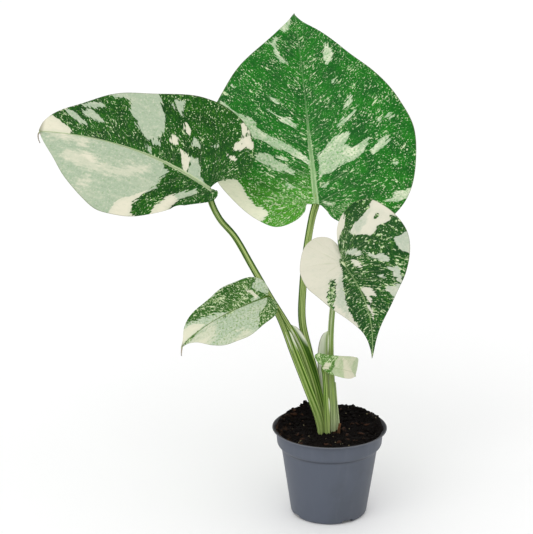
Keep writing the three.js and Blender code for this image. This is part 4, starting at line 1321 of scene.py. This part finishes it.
def stalk_mesh(name, stalk, rings):
    """A tapered, channelled stalk from the stem to its midrib, with its winged sheath."""
    corners = list(stalk["points"])
    seat_place = 1
    if "leaf" in stalk:
        seat_place = len(corners) / (len(corners) + len(SEAT_TAIL) - 1)
        corners += seat_corners(stalk)
    fine = np.linspace(0, 1, STALK_SAMPLES)
    places = even_places(corners, fine)
    path = curve_points(corners, places)
    length = np.linalg.norm(np.diff(path, axis=0), axis=1).sum()
    seat_share = float(np.interp(seat_place, places, fine))
    start = fine[np.argmax(path[:, 2] > STEM_TOP + 0.4)]
    facing = np.asarray(stalk["facing"], float)
    sheath_end = stalk["sheath"][3]
    tail = [[row[k] for row in SEAT_TAIL] for k in (0, 2)]

    def at(share):
        return np.array([np.interp(share, fine, path[:, axis]) for axis in range(3)])

    points, places_along, sheath = [], [], []
    for share in np.linspace(start, 1, rings + 1):
        centre = at(share)
        tangent = unit(at(min(share + 0.01, 1)) - at(max(share - 0.01, 0)))
        channel = unit(facing - tangent * (facing @ tangent))
        aside = np.cross(tangent, channel)
        knee = 1 + KNEE_SWELLING * math.exp(-(((share - seat_share) / KNEE_SHARE) ** 2))
        knee *= np.interp(max(share - seat_share, 0) * length, *tail)
        radius = (stalk["radius"][0] * (1 - share) + stalk["radius"][1] * share) * knee
        top = float(smooth_share(centre[2], sheath_end - SHEATH_TOP_LENGTH, sheath_end - 4))
        outline = stalk_section(stalk, radius, wing_growth(stalk, centre[2]))
        for out, across, (thin, edge, inner) in outline:
            points.append(centre + channel * out + aside * across)
            places_along.append((out, across, share * length))
            sheath.append((max(thin, 0.8 * edge * top), edge, inner * (1 - 0.8 * top)))
    mesh = make_mesh(name, points, tube_faces(rings, len(points) // (rings + 1)))
    set_attribute(mesh, "fibre", places_along)
    set_attribute(mesh, "sheath", sheath)
    set_attribute(mesh, "above_soil", [point[2] - SOIL_LINE for point in points])
    return mesh


def dry_tone(paint, thin, blotch, settings):
    colour = paint.mix(thin.step(0.35, 0.65), settings.dry, DRY_FIBRE)
    return paint.mix(blotch.step(0.42, 0.58) * 0.85, colour, DRY_BLOTCH)


def fresh_tone(paint, pale, stripes, thin, blotch, above, settings):
    """Striped green, deeper higher up, with a lined inside, pale thin wings and a blanched foot."""
    membrane, edge, inner = paint.parts(paint.vector("sheath"))
    light = blend(settings.light, settings.wing, pale)
    middle = blend(settings.middle, settings.light, pale)
    deep = blend(settings.deep, settings.middle, pale)
    colour = paint.mix(stripes.step(0.4, 0.46), deep, middle)
    colour = paint.mix(stripes.step(0.5, 0.57) * 0.9, colour, light)
    colour = paint.mix(thin.step(0.54, 0.64) * 0.45, colour, light)
    colour = paint.mix((1 - thin.step(0.4, 0.47)) * 0.75, colour, deep)
    colour = paint.mix(above.step(40, 140) * (1 - stripes.step(0.48, 0.62)) * 0.8, colour, deep)
    lining = paint.mix(stripes.step(0.42, 0.5), deep, middle)
    lining = paint.mix(stripes.step(0.56, 0.62) * 0.8, lining, light)
    colour = paint.mix(inner * 0.85, colour, lining)
    colour = paint.mix(blotch.step(0.6, 0.75) * 0.15, colour, settings.wing)
    thinned = blend(settings.wing, settings.light, 0.25)
    skin = paint.mix(thin.step(0.42, 0.6), thinned, settings.wing)
    colour = paint.mix(membrane.step(0.12, 0.5) * 0.92, colour, skin)
    dried_edge = paint.mix(membrane.step(0.3, 0.7), light, DRIED_WING)
    colour = paint.mix(edge.step(0.86, 1.0) * 0.75, colour, dried_edge)
    foot = 1 - (above + (blotch - 0.5) * 12).step(0, 45)
    return paint.mix(foot * 0.45, colour, light)


def stalk_paint(name, tone, settings):
    """Fibres along the stalk, fresh or dry, with soil caught at its foot."""
    dry = tone == "dry"
    paint = Paint(name, 0.62 if dry else 0.46, 0.1)
    fibre = paint.vector("fibre")
    above = paint.attribute("above_soil")
    stripes = paint.noise(fibre, (0.55, 0.55, 0.003), 2.0, 0.55)
    thin = paint.noise(fibre, (1.7, 1.7, 0.01), 3.0, 0.6)
    blotch = paint.noise(fibre, (0.3, 0.3, 0.06), 4.0, 0.6)
    if dry:
        colour = dry_tone(paint, thin, blotch, settings)
    else:
        pale = 0.45 if tone == "pale" else 0
        colour = fresh_tone(paint, pale, stripes, thin, blotch, above, settings)
    soiled = 1 - (above + (blotch - 0.5) * 5).step(-0.5, 3)
    paint.colour(paint.mix(soiled * 0.7, colour, STALK_SOIL))
    paint.rough((0.6 if dry else 0.4) + thin * 0.16)
    paint.bump(thin * 0.9 + stripes * 0.6, 0.0006 if dry else 0.0004, 0.7)
    return paint.material


def drip_mesh(name, leaf):
    """The dried, threadlike end of a blade's tip."""
    start = on_blade(leaf, leaf["right_margin"][-1][1] - DRIP_OVERLAP, 0)
    corners = [start + np.asarray(offset, float) for offset in leaf["drip"]]
    path = curve_points(corners, np.linspace(0, 1, DRIP_RINGS + 1))
    wide, narrowing = DRIP_RADIUS
    points, marks = [], []
    for i, centre in enumerate(path):
        tangent = unit(path[min(i + 1, DRIP_RINGS)] - path[max(i - 1, 0)])
        first = unit(np.cross(tangent, (0, 1, 0.2)))
        second = np.cross(tangent, first)
        radius = wide - narrowing * i / DRIP_RINGS + 0.06 * math.sin(i * 1.7)
        for aside, ahead, _ in circle(radius, 0, DRIP_SIDES):
            points.append(centre + first * aside + second * ahead)
            marks.append((aside, ahead, i * 0.5))
    mesh = make_mesh(name, points, tube_faces(DRIP_RINGS, DRIP_SIDES))
    set_attribute(mesh, "fibre", marks)
    return mesh


def drip_paint(name):
    paint = Paint(name, 0.6)
    fibre = paint.vector("fibre")
    grain = paint.noise(fibre, (0.9, 0.9, 0.3), 3.0)
    tip = paint.mix(grain.step(0.4, 0.6), DRIP_PALE, DRIP_DARK)
    paint.colour(paint.mix(paint.parts(fibre)[2].step(1, 5), DRIP_ROOT, tip))
    paint.bump(grain, 0.0003, 0.6)
    return paint.material


# Pot


def rounded(corners):
    """A profile through corners (radius, height, rounding), each cut by a smooth bend."""
    profile = []
    for i, (radius, height, rounding) in enumerate(corners):
        here = np.array([radius, height], float)
        if rounding == 0 or i in (0, len(corners) - 1):
            profile.append(here)
            continue
        before, after = (np.array(corners[k][:2], float) for k in (i - 1, i + 1))
        enter = here + unit(before - here) * rounding
        leave = here + unit(after - here) * rounding
        for share in np.linspace(0, 1, BEND_POINTS):
            rest = 1 - share
            profile.append(enter * rest ** 2 + here * 2 * share * rest + leave * share ** 2)
    return profile


def pot_profile():
    """The pot's section, from the middle of its base up the outside and down the inside."""
    radius, height, bead = POT_LIP
    arc = [math.radians(-40 + 19 * step) for step in range(11)]
    lip = [(radius + bead * math.cos(angle), height + bead * math.sin(angle), 0) for angle in arc]
    return rounded([(0, 0, 0), *POT_OUTSIDE, *lip, *POT_INSIDE, (0, POT_FLOOR, 0)])


def revolved(profile, segments):
    """Points and faces of a profile turned about the upright axis, where it starts and ends."""
    rows = len(profile) - 2
    points = [
        point for radius, height in profile[1:-1] for point in circle(radius, height, segments)]
    faces = bands(rows - 1, segments)
    first, last = len(points), len(points) + 1
    points += [(0, 0, profile[0][1]), (0, 0, profile[-1][1])]
    for j in range(segments):
        following = (j + 1) % segments
        faces.append((first, following, j))
        faces.append((last, (rows - 1) * segments + j, (rows - 1) * segments + following))
    return points, faces


def drain_cutter(degrees):
    """The rounded block that cuts a drain slot at an angle around the pot."""
    form = bmesh.new()
    bmesh.ops.create_cube(form, size=1)
    size = Matrix.Diagonal((*(side * MM for side in DRAIN_SIZE), 1))
    place = Matrix.Translation((DRAIN_RADIUS * MM, 0, 0)) @ size
    turn = Matrix.Rotation(math.radians(degrees), 4, "Z")
    bmesh.ops.transform(form, matrix=turn @ place, verts=form.verts)
    bmesh.ops.bevel(
        form, geom=form.edges[:], offset=DRAIN_ROUNDING * MM, segments=2, affect="EDGES")
    mesh = bpy.data.meshes.new("drain")
    form.to_mesh(mesh)
    form.free()
    cutter = bpy.data.objects.new("drain", mesh)
    bpy.context.scene.collection.objects.link(cutter)
    return cutter


def pot_mesh(name, segments):
    """The revolved pot with its drain slots cut from the base corner."""
    pot = bpy.data.objects.new(name + "_whole", make_mesh(name, *revolved(pot_profile(), segments)))
    bpy.context.scene.collection.objects.link(pot)
    cutters = [drain_cutter(degrees) for degrees in DRAIN_ANGLES]
    for cutter in cutters:
        pot.modifiers.new("drain", "BOOLEAN").object = cutter
    graph = bpy.context.evaluated_depsgraph_get()
    shaped = bpy.data.meshes.new_from_object(pot.evaluated_get(graph))
    for scrap in [pot, *cutters]:
        bpy.data.objects.remove(scrap)
    shaped.name = name
    return shaped


def pot_paint(name, settings):
    """Blue-grey moulded plastic, a little rubbed, dust and soil near the lip, painted highlight and shade."""
    paint = Paint(name, 0.5)
    place = paint.place()
    x, y, z = paint.parts(place)
    radius = (x * x + y * y) ** 0.5
    cloud = paint.noise(place, 18.0, 4.0, 0.6)
    flow = paint.noise(paint.scaled(place, (1, 1, 0.1)), 110.0, 3.0, 0.6)
    grain = paint.noise(place, 1500.0, 3.0, 0.6)
    scuff = paint.noise(paint.scaled(place, (1, 1, 4)), 80.0, 5.0, 0.75)
    warm = tinted(settings.plastic, WARM_AND_SHADED_TINT)
    # Warmer clouds at random, and painted shade: the shift with x darkens the right side
    colour = paint.mix((cloud + x * 3).step(0.4, 0.72) * 0.6, settings.plastic, warm)
    colour = paint.mix(flow.step(0.5, 0.75) * 0.07, colour, settings.wear_and_highlight)
    colour = paint.mix(scuff.step(0.64, 0.8) * 0.15, colour, settings.wear_and_highlight)
    # The rubbed lip, lighter partly from wear and partly as a painted highlight along its top edge
    lip = (z + (cloud - 0.5) * 0.001).step(*LIP_WEAR_AND_HIGHLIGHT_HEIGHTS) * radius.step(*LIP_WEAR_AND_HIGHLIGHT_RADII)
    colour = paint.mix(lip * 0.85, colour, settings.wear_and_highlight)
    # Painted shade: a dark line along the crease under the collar
    painted_crease_shade = 1 - (abs(z - SHADED_CREASE_HEIGHT * MM) / (SHADED_CREASE_HALF_WIDTH * MM)).step(0, 1)
    colour = paint.mix(painted_crease_shade * 0.95, colour, dimmed(settings.plastic, 0.42))
    crumbs = paint.dots(paint.scaled(place, (700, 700, 900)), 0.25, 0.35)
    dusty = z.step(*DUSTY_TOP) * 0.45 + (1 - z.step(*DUSTY_FOOT)) * 0.3
    colour = paint.mix((crumbs * dusty).least(1), colour, POT_CRUMB)
    wall_radius, wall_height, wall_slope = INNER_WALL
    flare_height, flare_slope = INNER_FLARE
    wall = wall_radius + (z - wall_height) * wall_slope + (z - flare_height).most(0) * flare_slope
    # Painted shade: the inner wall above the soil, darkened nearly to black
    inner = (1 - (radius - wall).step(-0.0002, 0.0002)) * z.step(*SHADE_INSIDE_START)
    colour = paint.mix(inner * (0.45 + cloud * 0.6), colour, SHADE_INSIDE_RIM)
    paint.colour(colour)
    paint.rough(0.42 + cloud * 0.12 + scuff.step(0.6, 0.8) * 0.12)
    paint.bump(grain * 0.3 + flow * 0.2 + scuff * 0.2, 0.00025, 0.5)
    return paint.material


# Soil


def soil_height(x, y, level):
    """Height of the soil in millimetres: heaped towards the back and the rim there, with lumps."""
    rise, start, end = BACK_HEAP
    heap = rise * float(smooth_share(y, start, end))
    rim, inner, outer, front, back = RIM_HEAP
    banked = rim * float(smooth_share(math.hypot(x, y), inner, outer))
    banked *= float(smooth_share(y, front, back))
    height = level + max(heap, banked)
    for lump_x, lump_y, lump_height, radius in SOIL_LUMPS:
        height += lump_height * math.exp(-((x - lump_x) ** 2 + (y - lump_y) ** 2) / radius ** 2)
    return height


def soil_mesh(name, level):
    """A closed bed of peat with a rough crust, down to the floor of the pot."""
    points = []
    edge_radius, edge_height = SOIL_EDGE
    for i in range(SOIL_RINGS + 1):
        share = i / SOIL_RINGS
        edge = float(smooth_share(share, 0.955, 1.0))
        for x, y, _ in circle(edge_radius * share, 0, SOIL_SEGMENTS):
            crust = noise.fractal(Vector((x, y, 0)) * 0.16, 0.8, 2.2, 6) * 1.5
            crust += abs(noise.noise(Vector((x, y, 7)) * 0.55)) * 1.3
            height = soil_height(x, y, level) + crust
            points.append((x, y, height * (1 - edge) + edge_height * edge))
    for radius, height in SOIL_WALL:
        points += circle(radius, height, SOIL_SEGMENTS)
    faces = [(a, d, c, b) for a, b, c, d in bands(SOIL_RINGS + len(SOIL_WALL), SOIL_SEGMENTS)]
    mesh = make_mesh(name, points, faces)
    form = bmesh.new()
    form.from_mesh(mesh)
    bmesh.ops.remove_doubles(form, verts=form.verts, dist=1e-6)
    bmesh.ops.holes_fill(form, edges=form.edges)
    bmesh.ops.recalc_face_normals(form, faces=form.faces)
    form.to_mesh(mesh)
    form.free()
    return mesh


def scattered(name, count, sizes, stretch, seed, level, raised):
    """Many small rough grains, each sunk a little into the soil, as one mesh."""
    lot = random.Random(seed)
    form = bmesh.new()
    for _ in range(count):
        radius = SCATTER_RADIUS * math.sqrt(lot.random())
        angle = lot.uniform(0, 2 * math.pi)
        x, y = radius * math.cos(angle), radius * math.sin(angle)
        size = lot.uniform(*sizes)
        height = soil_height(x, y, level) + size * raised
        fineness = 2 if size > SMALL_GRAIN else 1
        made = bmesh.ops.create_icosphere(form, subdivisions=fineness, radius=1)
        shift = Vector((lot.random(), lot.random(), lot.random())) * 50
        for vert in made["verts"]:
            vert.co *= 1 + 0.55 * noise.noise(vert.co * 1.3 + shift)
        turn = Matrix.Rotation(lot.uniform(0, 6.28), 4, "Z")
        turn = turn @ Matrix.Rotation(lot.uniform(-0.5, 0.5), 4, "X")
        scale = Matrix.Diagonal((*(size * lot.uniform(*ends) for ends in stretch), 1))
        place = Matrix.Scale(MM, 4) @ Matrix.Translation((x, y, height))
        bmesh.ops.transform(form, matrix=place @ turn @ scale, verts=made["verts"])
    mesh = bpy.data.meshes.new(name)
    form.to_mesh(mesh)
    form.free()
    return mesh


def peat_paint(name, settings):
    """Moist peat with darker clods, fine fibres, rusty crumbs and flecks of bark."""
    paint = Paint(name, 0.9, 0.1)
    place = paint.place()
    clod = paint.noise(place, 130.0, 6.0, 0.75)
    fibre = paint.noise(paint.scaled(place, (1, 3, 1)), 420.0, 4.0, 0.7)
    colour = paint.mix(clod.step(0.45, 0.72), settings.peat, dimmed(settings.peat, 1.7))
    colour = paint.mix(fibre.step(0.62, 0.76) * 0.6, colour, PEAT_FIBRE)
    rusty = (clod - paint.parts(place)[0] * 6).step(0.76, 0.95)
    colour = paint.mix(rusty * 0.6, colour, RUSTY_PEAT)
    flecks = paint.dots(paint.scaled(place, (420, 420, 420)), 0.1, 0.3)
    paint.colour(paint.mix(flecks * 0.5, colour, settings.bark))
    paint.rough(0.82 + fibre * 0.16)
    paint.bump(clod + fibre * 0.5, 0.0012)
    return paint.material


def grain_paint(name, colour, dark, scale, roughness):
    """Bark or perlite: mottled, with soil caught in its hollows."""
    paint = Paint(name, roughness, 0.15)
    place = paint.place()
    layers = paint.noise(paint.scaled(place, (1, 1, 3)), scale, 5.0, 0.7)
    caught = paint.noise(place, scale * 0.8, 4.0, 0.65)
    shown = paint.mix(layers.step(0.4, 0.65), colour, dimmed(colour, 0.5))
    paint.colour(paint.mix(caught.step(0.5, 0.66) * 0.8, shown, dark))
    paint.rough(roughness - 0.08 + layers * 0.16)
    paint.bump(layers, 0.0006, 0.8)
    return paint.material


# Operators


class PLANT_OT_stage(Operator):
    """Adds the floor, the soft lights and the camera"""

    bl_idname = "plant.stage"
    bl_label = "Stage"

    def execute(self, context):
        settings = context.scene.plant_stage
        camera_data = bpy.data.cameras.new("camera")
        camera_data.lens = settings.focal_length
        camera_data.clip_end = 50
        camera = bpy.data.objects.new("camera", camera_data)
        camera.location = settings.camera_place
        camera.rotation_euler = (math.pi / 2 - settings.camera_tilt, 0, 0)
        context.scene.collection.objects.link(camera)
        context.scene.camera = camera
        self.add_floor(context, settings)
        for name, (spread, tilt, turn) in LIGHTS.items():
            light = bpy.data.lights.new(name, "SUN")
            light.energy = getattr(settings, name)
            light.angle = math.radians(spread)
            lamp = bpy.data.objects.new(name, light)
            lamp.rotation_euler = (math.radians(tilt), 0, math.radians(turn))
            context.scene.collection.objects.link(lamp)
        world = bpy.data.worlds.new("studio")
        world.use_nodes = True
        world.node_tree.nodes["Background"].inputs[0].default_value = (1, 1, 1, 1)
        world.node_tree.nodes["Background"].inputs[1].default_value = settings.ambient
        context.scene.world = world
        context.scene.view_settings.view_transform = "Standard"
        return {"FINISHED"}

    def add_floor(self, context, settings):
        form = bmesh.new()
        bmesh.ops.create_circle(form, cap_ends=True, segments=64, radius=FLOOR_RADIUS)
        mesh = bpy.data.meshes.new("floor")
        form.to_mesh(mesh)
        form.free()
        paint = Paint("floor", 0.7)
        cloud = paint.noise(paint.place(), 2.0, 3.0)
        paint.colour(paint.mix(cloud, dimmed(settings.floor, 0.985), settings.floor))
        mesh.materials.append(paint.material)
        floor = bpy.data.objects.new("floor", mesh)
        context.scene.collection.objects.link(floor)
        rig.stage(floor)


class PLANT_OT_pot(Operator):
    """Adds the nursery pot"""

    bl_idname = "plant.pot"
    bl_label = "Pot"

    def execute(self, context):
        settings = context.scene.plant_pot
        mesh = pot_mesh("nursery_pot", settings.segments)
        dress("nursery_pot", mesh, ["pot"], "pot", pot_paint("pot_plastic", settings))
        return {"FINISHED"}


class PLANT_OT_soil(Operator):
    """Adds the peat with its crumbs, bark chips and perlite grains"""

    bl_idname = "plant.soil"
    bl_label = "Soil"

    def execute(self, context):
        settings = context.scene.plant_soil
        level = settings.level / MM
        peat = peat_paint("peat", settings)
        dress("peat_bed", soil_mesh("peat_bed", level), ["soil", "stem"], "soil", peat)
        dark = tuple(settings.peat)
        paints = {
            "peat_crumbs": peat,
            "bark_chips": grain_paint("bark", settings.bark, dark, 500.0, 0.8),
            "perlite_grains": grain_paint("perlite", settings.perlite, dark, 900.0, 0.75),
        }
        for name, (count, sizes, stretch, seed, raised) in SCATTERED.items():
            mesh = scattered(name, getattr(settings, count), sizes, stretch, seed, level, raised)
            dress(name, mesh, [], "soil", paints[name])
        return {"FINISHED"}


class PLANT_OT_stalks(Operator):
    """Adds the five stalks and the remains of two older leaves"""

    bl_idname = "plant.stalks"
    bl_label = "Stalks"

    def execute(self, context):
        settings = context.scene.plant_stalks
        paints = {tone: stalk_paint("stalk_" + tone, tone, settings) for tone in STALK_SLOTS}
        for name, stalk in STALKS.items():
            rings = STALK_RINGS if "leaf" in stalk else SHEATH_RINGS
            mesh = stalk_mesh(name + "_flesh", stalk, rings)
            slot = stalk.get("slot", STALK_SLOTS[stalk["tone"]])
            dress(name + "_flesh", mesh, [name], slot, paints[stalk["tone"]])
        return {"FINISHED"}


class PLANT_OT_blades(Operator):
    """Adds the five variegated blades"""

    bl_idname = "plant.blades"
    bl_label = "Blades"

    def execute(self, context):
        settings = context.scene.plant_blades
        drip = drip_paint("drip_tip")
        for name, leaf in LEAVES.items():
            paint = blade_paint("leaf_" + name, leaf, settings)
            mesh = blade_mesh("leaf_" + name, leaf, settings)
            dress("leaf_" + name, mesh, ["blade_" + name], leaf["slot"], paint)
            if "drip" in leaf:
                tip = drip_mesh("drip_" + name, leaf)
                dress("drip_" + name, tip, [], leaf["slot"], drip)
        return {"FINISHED"}


class PLANT_PT_panel(Panel):
    """Lists the pieces of the plant"""

    bl_idname = "PLANT_PT_panel"
    bl_label = "Potted monstera"
    bl_space_type = "VIEW_3D"
    bl_region_type = "UI"
    bl_category = "Plant"

    def draw(self, context):
        for operator, settings in PANEL_ROWS:
            box = self.layout.box()
            box.operator(operator)
            group = getattr(context.scene, settings)
            for name in group.bl_rna.properties.keys():
                if name not in ("rna_type", "name"):
                    box.prop(group, name)


PANEL_ROWS = [
    ("plant.stage", "plant_stage"),
    ("plant.pot", "plant_pot"),
    ("plant.soil", "plant_soil"),
    ("plant.stalks", "plant_stalks"),
    ("plant.blades", "plant_blades"),
]

SETTINGS = {
    "plant_pot": PotSettings,
    "plant_soil": SoilSettings,
    "plant_blades": BladeSettings,
    "plant_stalks": StalkSettings,
    "plant_stage": StageSettings,
}

CLASSES = [*SETTINGS.values(), PLANT_OT_stage, PLANT_OT_pot, PLANT_OT_soil, PLANT_OT_stalks,
           PLANT_OT_blades, PLANT_PT_panel]


def register():
    for part in CLASSES:
        bpy.utils.register_class(part)
    for name, group in SETTINGS.items():
        setattr(bpy.types.Scene, name, PointerProperty(type=group))


def unregister():
    for name in SETTINGS:
        delattr(bpy.types.Scene, name)
    for part in reversed(CLASSES):
        bpy.utils.unregister_class(part)


def main():
    """Builds the plant on its stage and writes the size of the part and of the model."""
    register()
    bpy.ops.plant.stage()
    bpy.ops.plant.pot()
    bpy.ops.plant.soil()
    bpy.ops.plant.stalks()
    bpy.ops.plant.blades()
    boxes = {"cad": cad_box, "visual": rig.bounds()}
    with open(SIZE_FILE, "w") as file:
        json.dump({name: [list(corner) for corner in box] for name, box in boxes.items()}, file)


if __name__ == "__main__":
    main()
